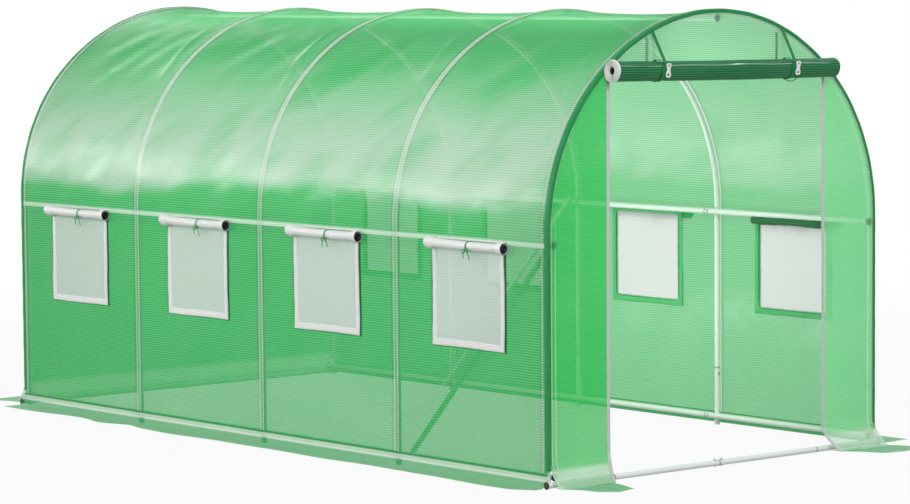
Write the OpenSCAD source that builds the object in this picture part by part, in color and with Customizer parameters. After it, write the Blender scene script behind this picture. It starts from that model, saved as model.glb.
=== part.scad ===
// Polytunnel greenhouse: five bolted tube hoops with lengthwise rails, under a
// woven film cover with roll-up windows, a roll-up front door and ground skirts.
// Millimetres. X across, -Y the door end, +Z up. The origin is on the ground, mid plan.

/* [Tunnel] */
// Outside width over the hoops
tunnel_w = 2000; // [1500:10:3000]
// Height of the hoops above the ground
tunnel_h = 2000; // [1700:10:2600]
// Distance from one hoop to the next
bay_pitch = 985; // [700:5:1500]
// Outside radius of the hoop's shoulder bends
shoulder_r = 900; // [600:10:960]

/* [Frame tubes] */
// Outside diameter of every frame tube
tube_d = 25; // [19:1:38]
// Height of the side base rails' centreline
base_rail_z = 45; // [30:1:90]
// How far the side purlins' centreline is below the foot of the arch
purlin_drop = 34; // [15:1:120]
// Length of the lengthwise tubes beyond the end hoops' faces
rail_overhang = 2; // [0:0.5:5]
// Length of the cross rails beyond the hoops' sides
cross_overhang = 15; // [5:1:25]
// Diameter of the tube end caps
cap_d = 32; // [26:1:50]
// Thickness of the tube end caps' rims
cap_t = 3; // [2:0.5:6]
// Length of each brace beyond the rails it crosses
brace_tail = 30; // [15:1:45]

/* [Cover film] */
// Thickness of the film, which stands in for the real 0.2 mm
film_t = 2; // [1:0.1:4]
// Space between an end hoop and the end film, which holds the tube ends
end_gap = 8; // [6:0.5:20]
// Height at which the side film turns out to its skirt
side_turn_z = 60; // [50:1:100]
// Height at which the end film turns out to its skirt
end_turn_z = 80; // [50:1:100]
// How far the side film leans out on its way to the ground
side_lean = 40; // [20:1:70]
// How far the end film leans out on its way to the ground
end_lean = 70; // [50:1:100]
// How far a side skirt reaches out from the frame
side_skirt_w = 240; // [150:5:400]
// How far an end skirt reaches out from the end film
end_skirt_w = 280; // [150:5:400]
// How far a skirt's corners are cut back
skirt_cut = 60; // [20:5:120]
// Width of the binding tape on the cover's end edges
binding_w = 40; // [25:1:60]
// Thickness of the binding tape
binding_t = 1.5; // [1:0.1:3]

/* [Windows] */
// Width of a window's net panel
window_w = 480; // [300:5:600]
// Height of the net panel from its lower edge to the rolled flap
window_h = 447; // [250:1:600]
// Lap of the net panel's hem on the film
window_lap = 25; // [10:1:40]
// Thickness of the net panel
net_t = 1.5; // [1:0.1:3]
// Diameter of a rolled window flap
flap_d = 54; // [40:1:70]
// Length of a rolled window flap
flap_w = 545; // [350:5:640]
// How far the rolled flaps' centreline is below the side purlins'
flap_drop = 22; // [0:1:80]
// Width of the tie round a rolled flap
tie_w = 10; // [6:1:20]
// Thickness of the ties
tie_t = 1.2; // [0.8:0.1:2]

/* [Door] */
// Width of the doorway between the zips' centrelines
door_w = 1306; // [900:2:1500]
// Width of a zip with its tapes
zip_w = 20; // [14:1:30]
// Thickness of a zip
zip_t = 3; // [2:0.5:5]
// Diameter of the rolled door
roll_d = 95; // [70:1:130]
// Length of the rolled door
roll_w = 1390; // [1000:2:1600]
// Height of the rolled door's centreline
roll_z = 1765; // [1500:1:1850]
// Width of a door strap
strap_w = 25; // [15:1:40]
// Thickness of a door strap
strap_t = 1.5; // [1:0.1:3]
// Distance from the tunnel's middle to each strap's buckle
strap_x = 395; // [250:5:550]
// Buckle width
buckle_w = 22; // [16:1:36]
// Buckle height
buckle_h = 60; // [30:1:80]
// Buckle thickness
buckle_t = 8; // [4:0.5:14]

/* [Hidden] */
$fn = 180;

bays = 4;
left = -1;
right = 1;
front = -1;
rear = 1;
clear = 0.3;      // clearance between pieces that lie on each other
seam = 0.6;       // gap between tubes or film panels that meet end to end

half_w = tunnel_w / 2;
half_l = bays * bay_pitch / 2;
tube_r = tube_d / 2;

// Each arch is two 45 degree shoulder arcs and a 90 degree crown arc, all tangent.
bend = 45;
shoulder_x = half_w - shoulder_r;
crown_r = shoulder_r + shoulder_x * sqrt(2);
spring_z = tunnel_h - crown_r + shoulder_x;
crown_z = spring_z - shoulder_x;

// Lengthwise tubes lie against the inner faces of the hoops.
purlin_z = spring_z - purlin_drop;
rail_x = half_w - tube_d - clear - tube_r;
ridge_z = tunnel_h - tube_d - clear - tube_r;
rail_end = half_l + tube_r + rail_overhang;
brace_x = rail_x - tube_d - clear;
cross_y = half_l + tube_d + clear;
cross_z = cap_d / 2;
cross_end = half_w + cross_overhang;

film_in = clear;
film_out = film_in + film_t;
end_in = half_l + tube_r + end_gap;
end_out = end_in + film_t;

bay_y = [for (i = [0:bays - 1]) -half_l + (i + 0.5) * bay_pitch];
door_x = door_w / 2;
flap_z = purlin_z - flap_drop;
window_z = flap_z - window_h;
net_in = half_w + film_out + clear;
net_out = net_in + net_t;
flap_x = net_out + clear + tie_t + clear + flap_d / 2;
strap_y = end_out + clear;
roll_y = strap_y + strap_t + clear + roll_d / 2;

// The binding tape lies over the film's edge, and what hangs from the arch ends at its hem.
binding_in = film_out + clear;
hem_r = crown_r + binding_in + binding_t - binding_w;
function hem_z(x) = crown_z + sqrt(pow(hem_r, 2) - pow(x, 2)) - clear;

// Basic shapes

module tube_x(x0, x1, y, z) {
    translate([x0, y, z]) rotate([0, 90, 0]) cylinder(d = tube_d, h = x1 - x0);
}

module tube_y(y0, y1, x, z) {
    translate([x, y0, z]) rotate([-90, 0, 0]) cylinder(d = tube_d, h = y1 - y0);
}

// A tube bent to radius r in the XZ plane, from angle a0 to a1
module tube_arc(x, y, z, r, a0, a1) {
    translate([x, y, z]) rotate([90, 0, 0]) rotate(a0)
        rotate_extrude(angle = a1 - a0) translate([r, 0]) circle(d = tube_d);
}

// A sector of a circle from angle a0, one bend wide on each step
module sector(r, a0, a1) {
    reach = 2 * r;
    intersection() {
        circle(r = r);
        polygon([[0, 0], reach * [cos(a0), sin(a0)], reach * [cos(a1), sin(a1)]]);
    }
}

// The outline under the arch, grown from the hoops' outer faces, above height foot
module arch_outline(grow, foot) {
    r = shoulder_r + grow;
    w = half_w + grow;
    knee = [shoulder_x + r * cos(bend), spring_z + r * sin(bend)];
    union() {
        polygon([[-w, foot], [w, foot], [w, spring_z], knee, [-knee[0], knee[1]], [-w, spring_z]]);
        translate([shoulder_x, spring_z]) sector(r, 0, bend);
        translate([0, crown_z]) sector(crown_r + grow, bend, 180 - bend);
        translate([-shoulder_x, spring_z]) sector(r, 180 - bend, 180);
    }
}

// The arch above height foot as a band of thickness t, grown from the hoops' outer faces
module arch_ring(grow, t, foot) {
    difference() {
        arch_outline(grow + t, foot);
        arch_outline(grow, foot - 1);
    }
}

// An outline in X and Z as a plate from y0 to y1
module plate_y(y0, y1) {
    translate([0, y1, 0]) rotate([90, 0, 0]) linear_extrude(y1 - y0) children();
}

// An outline in Y and Z as a plate from x0 to x1
module plate_x(x0, x1) {
    translate([x0, 0, 0]) rotate([90, 0, 90]) linear_extrude(x1 - x0) children();
}

// Frame

module hoop(y) {
    cut = seam / 2;
    leg_z = spring_z - cut;
    shoulder_cut = cut / shoulder_r * 180 / PI;
    crown_cut = cut / crown_r * 180 / PI;
    color("white") {
        for (side = [left, right]) {
            translate([side * (half_w - tube_r), y, 0]) cylinder(d = tube_d, h = leg_z);
        }
        tube_arc(shoulder_x, y, spring_z, shoulder_r - tube_r, shoulder_cut, bend - shoulder_cut);
        tube_arc(0, y, crown_z, crown_r - tube_r, bend + crown_cut, 180 - bend - crown_cut);
        tube_arc(-shoulder_x, y, spring_z, shoulder_r - tube_r,
            180 - bend + shoulder_cut, 180 - shoulder_cut);
    }
}

module hoop_number(i) {
    hoop(-half_l + (i - 1) * bay_pitch);
}

// A lengthwise tube in one length per bay, joined at the hoops
module bay_tubes(x, z) {
    color("white") for (i = [0:bays - 1]) {
        y0 = i == 0 ? -rail_end : -half_l + i * bay_pitch + seam / 2;
        y1 = i == bays - 1 ? rail_end : -half_l + (i + 1) * bay_pitch - seam / 2;
        tube_y(y0, y1, x, z);
    }
}

// A rail across an end, in two halves
module cross_rail(end) {
    color("white") {
        tube_x(-cross_end, -seam / 2, end * cross_y, cross_z);
        tube_x(seam / 2, cross_end, end * cross_y, cross_z);
    }
}

// A brace from the base rail at foot_y to the purlin at head_y, inside the rails
module brace(side, foot_y, head_y) {
    rise = purlin_z - base_rail_z;
    run = head_y - foot_y;
    length = norm([rise, run]);
    color("white") translate([side * brace_x, foot_y, base_rail_z])
        rotate([-atan2(run, rise), 0, 0])
            translate([0, 0, -brace_tail]) cylinder(d = tube_d, h = length + 2 * brace_tail);
}

module left_brace() {
    brace(left, -half_l + bay_pitch - tube_d, -half_l + tube_d);
}

module right_brace() {
    brace(right, half_l - bay_pitch - tube_d, tube_d);
}

module tube_end_caps() {
    color("dimgray") {
        for (end = [front, rear], p = [
            [-rail_x, base_rail_z], [rail_x, base_rail_z],
            [-rail_x, purlin_z], [rail_x, purlin_z], [0, ridge_z]
        ]) {
            face = rail_end + clear + (end == front ? cap_t : 0);
            translate([p[0], end * face, p[1]]) rotate([-90, 0, 0]) cylinder(d = cap_d, h = cap_t);
        }
        for (end = [front, rear], side = [left, right]) {
            face = cross_end + clear + (side == left ? cap_t : 0);
            translate([side * face, end * cross_y, cross_z])
                rotate([0, 90, 0]) cylinder(d = cap_d, h = cap_t);
        }
    }
}

// Cover

function panel_y0(i) = i == 1 ? -end_out : -half_l + (i - 1) * bay_pitch + seam / 2;
function panel_y1(i) = i == bays ? end_out : -half_l + i * bay_pitch - seam / 2;

module roof(i) {
    color("mediumseagreen") plate_y(panel_y0(i), panel_y1(i)) arch_ring(film_in, film_t, spring_z);
}

module wall(side, i) {
    face = side == left ? -half_w - film_out : half_w + film_in;
    hole_w = window_w - 2 * window_lap;
    hole_z = window_z + window_lap;
    color("mediumseagreen") plate_x(face, face + film_t) difference() {
        translate([panel_y0(i), side_turn_z])
            square([panel_y1(i) - panel_y0(i), spring_z - seam / 2 - side_turn_z]);
        translate([bay_y[i - 1] - hole_w / 2, hole_z]) square([hole_w, flap_z - hole_z]);
    }
}

module window_nets(side) {
    face = side == left ? -net_out : net_in;
    color("gainsboro") for (y = bay_y) {
        translate([face, y - window_w / 2, window_z]) cube([net_t, window_w, flap_z - window_z]);
    }
}

module rolled_flaps(side) {
    color("whitesmoke") for (y = bay_y) {
        translate([side * flap_x, y - flap_w / 2, flap_z])
            rotate([-90, 0, 0]) cylinder(d = flap_d, h = flap_w);
    }
}

module flap_ties() {
    bore_d = flap_d + 2 * clear;
    color("seagreen") for (side = [left, right], y = bay_y) {
        translate([side * flap_x, y - tie_w / 2, flap_z]) rotate([-90, 0, 0]) difference() {
            cylinder(d = bore_d + 2 * tie_t, h = tie_w);
            translate([0, 0, -1]) cylinder(d = bore_d, h = tie_w + 2);
        }
    }
}

module end_outline() {
    arch_outline(0, end_turn_z);
}

module front_wall(side) {
    color("mediumseagreen") plate_y(-end_out, -end_in) intersection() {
        end_outline();
        translate([side == left ? -tunnel_w : door_x, 0]) square([tunnel_w - door_x, tunnel_h]);
    }
}

module front_wall_top() {
    color("mediumseagreen") plate_y(-end_out, -end_in) intersection() {
        end_outline();
        translate([-door_x + seam, roll_z]) square([door_w - 2 * seam, tunnel_h]);
    }
}

module rear_wall() {
    color("mediumseagreen") plate_y(end_in, end_out) end_outline();
}

module rolled_door() {
    color("darkgreen") translate([-roll_w / 2, -roll_y, roll_z])
        rotate([0, 90, 0]) cylinder(d = roll_d, h = roll_w);
}

module door_straps() {
    loop_r = roll_d / 2 + clear;
    color("seagreen") for (side = [left, right]) {
        translate([side * strap_x - strap_w / 2, -roll_y, roll_z]) rotate([0, 90, 0]) difference() {
            cylinder(r = loop_r + strap_t, h = strap_w);
            translate([0, 0, -1]) cylinder(r = loop_r, h = strap_w + 2);
        }
        translate([side * strap_x - strap_w / 2, -strap_y - strap_t, roll_z])
            cube([strap_w, strap_t, hem_z(strap_x + strap_w / 2) - roll_z]);
    }
}

module strap_buckles() {
    face = roll_y + roll_d / 2 + clear + strap_t + clear + buckle_t;
    color("white") for (side = [left, right]) {
        translate([side * strap_x - buckle_w / 2, -face, roll_z - buckle_h / 2])
            cube([buckle_w, buckle_t, buckle_h]);
    }
}

// The side profile of film that leans out to the ground, from d0 at its inner face,
// with d outwards; it ends at reach along the ground
function lean_profile(d0, t, top_z, lean, reach) = [
    [d0, top_z], [d0 + t, top_z], [d0 + lean + t, t], [reach, t], [reach, 0], [d0 + lean, 0]
];

module door_zips() {
    d0 = end_out + clear;
    top_z = min(hem_z(door_x + zip_w / 2), roll_z - roll_d / 2 - clear);
    profile = [
        [-d0, top_z], [-d0 - zip_t, top_z], [-d0 - zip_t, end_turn_z],
        [-d0 - end_lean - zip_t, clear + film_t + zip_t], [-d0 - end_lean, clear + film_t],
        [-d0, end_turn_z]
    ];
    color("white") for (side = [left, right]) {
        x0 = side * door_x - zip_w / 2;
        plate_x(x0, x0 + zip_w) polygon(profile);
    }
}

// Tape folded over the cover's edge: a band over the film and a lip down its end face
module end_bindings() {
    over = binding_in + binding_t;
    lip = end_out + clear + binding_t;
    color("green") for (end = [front, rear]) {
        y0 = end == front ? -lip : lip - binding_w;
        room_y = y0 - end * binding_t;
        difference() {
            plate_y(y0, y0 + binding_w) arch_ring(over - binding_w, binding_w, end_turn_z);
            plate_y(room_y, room_y + binding_w) arch_outline(binding_in, end_turn_z - 1);
        }
    }
}

module side_skirt(side) {
    reach = film_in + side_skirt_w;
    inner = half_w - tube_d;
    profile = [for (p = lean_profile(film_in, film_t, side_turn_z - seam, side_lean, reach))
        [side * (half_w + p[0]), p[1]]];
    color("mediumaquamarine") intersection() {
        plate_y(-end_out, end_out) polygon(profile);
        linear_extrude(tunnel_h) polygon([
            [side * inner, -end_out], [side * (half_w + film_out), -end_out],
            [side * (half_w + reach), -end_out + skirt_cut],
            [side * (half_w + reach), end_out - skirt_cut],
            [side * (half_w + film_out), end_out], [side * inner, end_out]
        ]);
    }
}

// The skirt of an end film that lies between x0 and x1
module end_skirt(end, x0, x1, cut0, cut1) {
    reach = end_in + film_t + end_skirt_w;
    profile = [for (p = lean_profile(end_in, film_t, end_turn_z - seam, end_lean, reach))
        [end * p[0], p[1]]];
    color("mediumaquamarine") intersection() {
        plate_x(min(x0, x0 + cut0), max(x1, x1 + cut1)) polygon(profile);
        linear_extrude(tunnel_h) polygon([
            [x0, 0], [x1, 0], [x1, end * (end_out + end_lean)], [x1 + cut1, end * reach],
            [x0 + cut0, end * reach], [x0, end * (end_out + end_lean)]
        ]);
    }
}

module front_skirts() {
    end_skirt(front, -half_w, -door_x, -skirt_cut, -skirt_cut);
    end_skirt(front, door_x, half_w, skirt_cut, skirt_cut);
}

module rear_skirt() {
    end_skirt(rear, -half_w, half_w, -skirt_cut, skirt_cut);
}

hoop_number(1);  // front_hoop
hoop_number(2);  // hoop_2
hoop_number(3);  // hoop_3
hoop_number(4);  // hoop_4
hoop_number(5);  // rear_hoop
bay_tubes(-rail_x, base_rail_z);  // left_base_rail
bay_tubes(rail_x, base_rail_z);  // right_base_rail
bay_tubes(-rail_x, purlin_z);  // left_purlin
bay_tubes(rail_x, purlin_z);  // right_purlin
bay_tubes(0, ridge_z);  // ridge_purlin
cross_rail(front);  // front_base_rail
cross_rail(rear);  // rear_base_rail
left_brace();
right_brace();
tube_end_caps();
roof(1);  // roof_1
roof(2);  // roof_2
roof(3);  // roof_3
roof(4);  // roof_4
wall(left, 1);  // left_wall_1
wall(left, 2);  // left_wall_2
wall(left, 3);  // left_wall_3
wall(left, 4);  // left_wall_4
wall(right, 1);  // right_wall_1
wall(right, 2);  // right_wall_2
wall(right, 3);  // right_wall_3
wall(right, 4);  // right_wall_4
window_nets(left);  // left_window_nets
window_nets(right);  // right_window_nets
rolled_flaps(left);  // left_rolled_flaps
rolled_flaps(right);  // right_rolled_flaps
flap_ties();
front_wall(left);  // front_wall_left
front_wall(right);  // front_wall_right
front_wall_top();
rear_wall();
rolled_door();
door_straps();
strap_buckles();
door_zips();
end_bindings();
side_skirt(left);  // left_skirt
side_skirt(right);  // right_skirt
front_skirts();
rear_skirt();
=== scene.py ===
"""Walk-in polytunnel greenhouse: woven film over five hoops, eight net windows, a rolled door and ground skirts."""

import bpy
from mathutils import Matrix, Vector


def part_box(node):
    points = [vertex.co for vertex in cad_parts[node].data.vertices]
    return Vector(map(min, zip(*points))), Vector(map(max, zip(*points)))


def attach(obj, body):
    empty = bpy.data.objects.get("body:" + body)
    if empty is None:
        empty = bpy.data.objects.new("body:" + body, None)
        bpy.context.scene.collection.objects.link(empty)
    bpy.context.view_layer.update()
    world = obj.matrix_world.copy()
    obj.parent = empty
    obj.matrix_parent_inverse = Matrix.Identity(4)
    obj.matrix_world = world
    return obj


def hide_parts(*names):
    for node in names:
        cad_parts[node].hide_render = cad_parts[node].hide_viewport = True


bl_info = {
    "name": "Polytunnel greenhouse",
    "version": (1, 0, 0),
    "blender": (4, 5, 0),
    "location": "3D View > Sidebar > Polytunnel",
    "description": "Dresses a polytunnel frame with its film, windows, door, skirts and fittings",
    "category": "Object",
}

import math

import bmesh
import bpy
import numpy as np
from bpy.props import FloatProperty, FloatVectorProperty, IntProperty, PointerProperty
from mathutils import Matrix, Vector

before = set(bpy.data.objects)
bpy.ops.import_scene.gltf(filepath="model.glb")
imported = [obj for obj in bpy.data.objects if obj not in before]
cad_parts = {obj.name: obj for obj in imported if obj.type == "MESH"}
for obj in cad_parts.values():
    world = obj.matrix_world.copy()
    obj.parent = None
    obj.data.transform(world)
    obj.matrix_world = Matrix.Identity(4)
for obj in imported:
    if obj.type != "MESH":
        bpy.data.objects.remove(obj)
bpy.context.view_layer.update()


# ---------------------------------------------------------------- measures taken from the frame, in metres
def mid(name, axis):
    """Middle of a frame node's box along an axis: 0 across, 1 along the tunnel, 2 up."""
    low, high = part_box(name)
    return (low[axis] + high[axis]) / 2


HOOPS = ("front_hoop", "hoop_2", "hoop_3", "hoop_4", "rear_hoop")
HOOP_Y = [mid(name, 1) for name in HOOPS]
PITCH = HOOP_Y[1] - HOOP_Y[0]
END_Y = HOOP_Y[-1]
TUBE_R = (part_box(HOOPS[0])[1].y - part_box(HOOPS[0])[0].y) / 2
HALF_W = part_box(HOOPS[2])[1].x
TOP_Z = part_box(HOOPS[2])[1].z
SPRING_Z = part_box("roof_1")[0].z
SHOULDER_R = ((TOP_Z - SPRING_Z) - HALF_W * (math.sqrt(2) - 1)) / (2 - math.sqrt(2))
SHOULDER_X = HALF_W - SHOULDER_R
CROWN_R = SHOULDER_R + SHOULDER_X * math.sqrt(2)
CROWN_Z = TOP_Z - CROWN_R
CROWN_LEN = CROWN_R * math.pi / 4
SHOULDER_LEN = SHOULDER_R * math.pi / 4
GROUND_S = CROWN_LEN + SHOULDER_LEN + SPRING_Z
FILM_LIFT = mid("roof_1", 0) + 0.0013
FILM_END_Y = mid("rear_wall", 1)
END_GAP = FILM_END_Y - END_Y - 0.004
PURLIN_X, PURLIN_Z = mid("right_purlin", 0), mid("left_purlin", 2)
RAIL_Z, RIDGE_Z = mid("left_base_rail", 2), mid("ridge_purlin", 2)
CROSS_Y, CROSS_Z = mid("rear_base_rail", 1), mid("rear_base_rail", 2)
DOOR_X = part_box("front_wall_right")[0].x
DOOR_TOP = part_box("front_wall_top")[0].z
NET_LO, NET_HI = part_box("right_window_nets")
FLAP_LO, FLAP_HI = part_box("right_rolled_flaps")
FLAP_R = (FLAP_HI.z - FLAP_LO.z) / 2
FLAP_Z = mid("right_rolled_flaps", 2)
FLAP_X = mid("right_rolled_flaps", 0) - HALF_W - 0.003
BAY_Y = [(front + rear) / 2 for front, rear in zip(HOOP_Y, HOOP_Y[1:])]
NET_W = 2 * (NET_HI.y - BAY_Y[-1])
FLAP_W = 2 * (FLAP_HI.y - BAY_Y[-1])
ROLL_LO, ROLL_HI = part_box("rolled_door")
ROLL_Y, ROLL_Z = mid("rolled_door", 1), mid("rolled_door", 2) - 0.023
ROLL_TILT = -0.010
ROLL_R = (ROLL_HI.z - ROLL_LO.z) / 2
ROLL_FILM_R = ROLL_R * 0.955
STRAP_X = (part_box("strap_buckles")[1].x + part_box("door_straps")[1].x) / 2 - 0.0118
SIDE_SKIRT_X, SIDE_TURN_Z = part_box("right_skirt")[1].x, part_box("right_skirt")[1].z
END_SKIRT_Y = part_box("rear_skirt")[1].y

CAMERA_AT = (-10.6037, -12.7124, 2.1640)
CAMERA_FORWARD = (0.64486, 0.76006, -0.08035)
CAMERA_RIGHT = (0.76210, -0.64741, -0.00779)


# ---------------------------------------------------------------- sizes and colours a user would change
def size(name, about, default, low=0.0, high=10.0):
    return FloatProperty(name=name, description=about, default=default, min=low, max=high, unit="LENGTH", precision=4)


def share(name, about, default):
    return FloatProperty(name=name, description=about, default=default, min=0.0, max=1.0, subtype="FACTOR")


def tint(name, about, default):
    return FloatVectorProperty(name=name, description=about, default=default, min=0.0, max=1.0, size=3, subtype="COLOR")


def strength(name, about, default, high, low=0.0, unit="NONE"):
    return FloatProperty(name=name, description=about, default=default, min=low, max=high, unit=unit)


class FilmSettings(bpy.types.PropertyGroup):
    """The woven film."""

    colour: tint("Film", "Colour of the clear film between the threads", (0.005, 0.296, 0.058))
    thread: tint("Thread", "Colour of the scrim threads laid into the film", (0.075, 0.62, 0.19))
    pitch: size("Thread pitch", "Distance from one scrim thread to the next", 0.0112, 0.002, 0.05)
    cover: share("Cover", "How much of the light behind the film is held back", 0.78)
    # strength of the pale sheen painted along the shoulders, a painted reflection of the studio light
    shoulder_sheen: share("Sheen", "How milky the film is along its shoulders", 0.72)
    bowl: size("Shoulder slack", "How far the film is drawn in between hoops on the shoulder", 0.012, 0, 0.03)
    rest: size("Ridge slack", "How far the film sinks on to the ridge purlin between hoops", 0.0240, 0, 0.0245)
    fold: size("Fold height", "Height of the slanting tension folds", 0.0030, 0, 0.01)
    binding: tint("Binding", "Colour of the sleeves and seams round the end hoops", (0.018, 0.180, 0.056))


class WindowSettings(bpy.types.PropertyGroup):
    """The net windows and their rolled flaps."""

    net: tint("Net", "Colour of the window net", (0.64, 0.66, 0.66))
    hem: tint("Hem", "Colour of the tape hems round the net", (0.96, 0.97, 0.96))
    flap: tint("Flap", "Colour of the rolled window flaps", (0.94, 0.95, 0.94))
    tie: tint("Tie", "Colour of the tapes that hold the flaps up", (0.04, 0.33, 0.10))
    hem_width: size("Hem width", "Width of the tape round the net", 0.030, 0.005, 0.1)
    opening: size("Inner edging", "Width of the green edging inside the opening", 0.024, 0.005, 0.1)


class DoorSettings(bpy.types.PropertyGroup):
    """The rolled door, its straps and zips."""

    roll: tint("Rolled film", "Colour of the door film where it lies in many layers", (0.006, 0.062, 0.022))
    turns: IntProperty(name="Turns", description="Turns of film in the rolled door", default=8, min=2, max=14)
    webbing: tint("Webbing", "Colour of the straps", (0.008, 0.200, 0.050))
    buckle: tint("Buckle", "Colour of the side-release buckles", (0.80, 0.81, 0.80))
    zip: tint("Zip", "Colour of the zip tape", (0.78, 0.80, 0.78))
    strap_width: size("Strap width", "Width of the straps", 0.018, 0.005, 0.06)


class TubeSettings(bpy.types.PropertyGroup):
    """The coated steel tubes and their small parts."""

    coat: tint("Coating", "Colour of the coated tubes", (0.80, 0.82, 0.81))
    cap: tint("Caps", "Colour of the plastic end caps", (0.012, 0.013, 0.013))
    steel: tint("Steel", "Colour of the zinc-plated bolts", (0.55, 0.56, 0.57))


class SkirtSettings(bpy.types.PropertyGroup):
    """The ground skirts."""

    near: size("Left skirt", "Width of the left skirt on the ground", 0.125, 0.05, 0.24)
    ripple: size("Ripple", "Height of the ripples in the skirts", 0.006, 0, 0.03)


class StageSettings(bpy.types.PropertyGroup):
    """Camera and light."""

    lens: strength("Lens", "Focal length", 136.6, 400, 10, "CAMERA")
    ambient: strength("Ambient", "Strength of the light from all round", 0.55, 4)
    card: strength("Card", "Strength of the big reflecting card", 10.5, 60)
    inside: strength("Inside", "Base power of the three lamps in the tunnel", 12.0, 500, unit="POWER")
    key: strength("Key", "Base power of the four outer lamps", 190.0, 5000, unit="POWER")


SETTINGS = {
    "film": FilmSettings,
    "windows": WindowSettings,
    "door": DoorSettings,
    "tubes": TubeSettings,
    "skirts": SkirtSettings,
    "stage": StageSettings,
}


class TunnelSettings(bpy.types.PropertyGroup):
    """Every size and colour of the dressed polytunnel."""

    film: PointerProperty(type=FilmSettings, name="Film")
    windows: PointerProperty(type=WindowSettings, name="Windows")
    door: PointerProperty(type=DoorSettings, name="Door")
    tubes: PointerProperty(type=TubeSettings, name="Tubes")
    skirts: PointerProperty(type=SkirtSettings, name="Skirts")
    stage: PointerProperty(type=StageSettings, name="Stage")


# ---------------------------------------------------------------- shader writing
THREAD_FLANKS = (0.22, 0.12)  # how far a thread's edge is blurred outward and inward


class Wire:
    """One shader socket; + - * / abs and the methods below add the nodes that work on it."""

    def __init__(self, paint, socket):
        self.paint, self.socket = paint, socket

    def math(self, operation, *others, clamp=False, swap=False):
        values = [self, *others]
        if swap:
            values.reverse()
        return self.paint.node("Math", dict(enumerate(values)), operation=operation, use_clamp=clamp)

    def __add__(self, other):
        return self.math("ADD", other)

    __radd__ = __add__

    def __sub__(self, other):
        return self.math("SUBTRACT", other)

    def __rsub__(self, other):
        return self.math("SUBTRACT", other, swap=True)

    def __mul__(self, other):
        return self.math("MULTIPLY", other)

    def __truediv__(self, other):
        return self.math("DIVIDE", other)

    def __abs__(self):
        return self.math("ABSOLUTE")

    def clamped(self):
        return self.math("MULTIPLY", 1.0, clamp=True)

    def larger(self, other):
        return self.math("MAXIMUM", other)

    def between(self, low, high):
        """0 below low, 1 above high, a smooth rise between."""
        sockets = {"Value": self, "From Min": low, "From Max": high}
        return self.paint.node("MapRange", sockets, interpolation_type="SMOOTHSTEP")

    def line(self, centre, inner, outer):
        """1 within inner of a centre, 0 beyond outer of it."""
        return 1.0 - abs(self - centre).between(inner, outer)

    def thread(self, pitch, width):
        """Lines across this length: 1 on a thread, 0 between threads, with soft flanks."""
        near = abs((self / pitch).math("FRACT") - 0.5) * 2.0
        return near.between(1.0 - width - THREAD_FLANKS[0], 1.0 - width + THREAD_FLANKS[1])


class Paint:
    """A material, or the world, being written."""

    def __init__(self, name, owner=None):
        self.owner = owner or bpy.data.materials.new(name)
        self.owner.use_nodes = True
        self.tree = self.owner.node_tree
        self.tree.nodes.clear()

    def node(self, kind, sockets=None, output=0, **settings):
        """A node of any type: its settings first, then its sockets' values or links."""
        made = self.tree.nodes.new("ShaderNode" + kind)
        for name, value in settings.items():
            setattr(made, name, value)
        for name, value in (sockets or {}).items():
            if isinstance(value, Wire):
                self.tree.links.new(value.socket, made.inputs[name])
            elif isinstance(value, (tuple, list)) and made.inputs[name].type == "RGBA":
                made.inputs[name].default_value = (*value[:3], 1)
            else:
                made.inputs[name].default_value = value
        return Wire(self, made.outputs[output]) if len(made.outputs) else None

    def part(self, vector, axis):
        """One coordinate of a vector."""
        return self.node("SeparateXYZ", {0: vector}, output=axis)

    def metres(self):
        """The piece's own map in metres: (across, along)."""
        own = self.node("UVMap", uv_map="metres")
        return self.part(own, 0), self.part(own, 1)

    def place(self):
        return self.node("TexCoord", output="Object")

    def noise(self, scale, detail=3.0, vector=None, roughness=0.5):
        sockets = {"Vector": vector or self.place(), "Scale": scale, "Detail": detail, "Roughness": roughness}
        return self.node("TexNoise", sockets)

    def blend(self, factor, a, b):
        """Colour a where factor is 0, b where it is 1."""
        return self.node("Mix", {0: factor, 6: a, 7: b}, output=2, data_type="RGBA")

    def bump(self, height, distance, strength=1.0):
        return self.node("Bump", {"Height": height, "Distance": distance, "Strength": strength})

    def skin(self, base, rough, normal, more=None):
        """A surface of its own colour, with any further sockets in more."""
        return self.node("BsdfPrincipled", {"Base Color": base, "Roughness": rough, "Normal": normal, **(more or {})})

    def glow(self, colour, normal=None):
        """Light let through in a colour."""
        return self.node("BsdfTranslucent", {"Color": tuple(colour), **({"Normal": normal} if normal else {})})

    def mix(self, factor, a, b):
        """Shader a where factor is 0, b where it is 1."""
        return self.node("MixShader", {0: factor, 1: a, 2: b})

    def holes(self, cover, shader):
        """A shader that covers only a share of the surface and leaves the rest clear."""
        return self.done(self.mix(cover.clamped(), self.node("BsdfTransparent"), shader))

    def done(self, shader):
        self.node("OutputMaterial", {"Surface": shader})
        return self.owner

    def seen_rays(self):
        """1 for what the camera sees, straight or in a reflection or through clear film; 0 for the object's light."""
        rays = [self.node("LightPath", output=f"Is {kind} Ray") for kind in ("Camera", "Glossy", "Transmission")]
        return rays[0].larger(rays[1]).larger(rays[2])


def shade(colour, factor):
    """A colour lightened or darkened by a factor."""
    return tuple(min(1.0, c * factor) for c in colour)


PAINTED_LIGHT_AND_STITCH = (0.84, 0.90, 0.84)  # pale tint of the painted light over the tubes, shoulders, feet and skirt tops, and of the stitch dots at a panel's foot
SHEEN_GLOW = (0.36, 0.50, 0.41)  # grey light let through under the painted shoulder sheen
PAINTED_SHADE_SHARE = 0.35  # painted shade beside a hoop and at the crown, as a share of the film's own colour


def to_hoop(u):
    """Distance to the nearest hoop."""
    return abs(((u - HOOP_Y[0]) / PITCH + 0.5).math("FRACT") - 0.5) * PITCH


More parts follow.
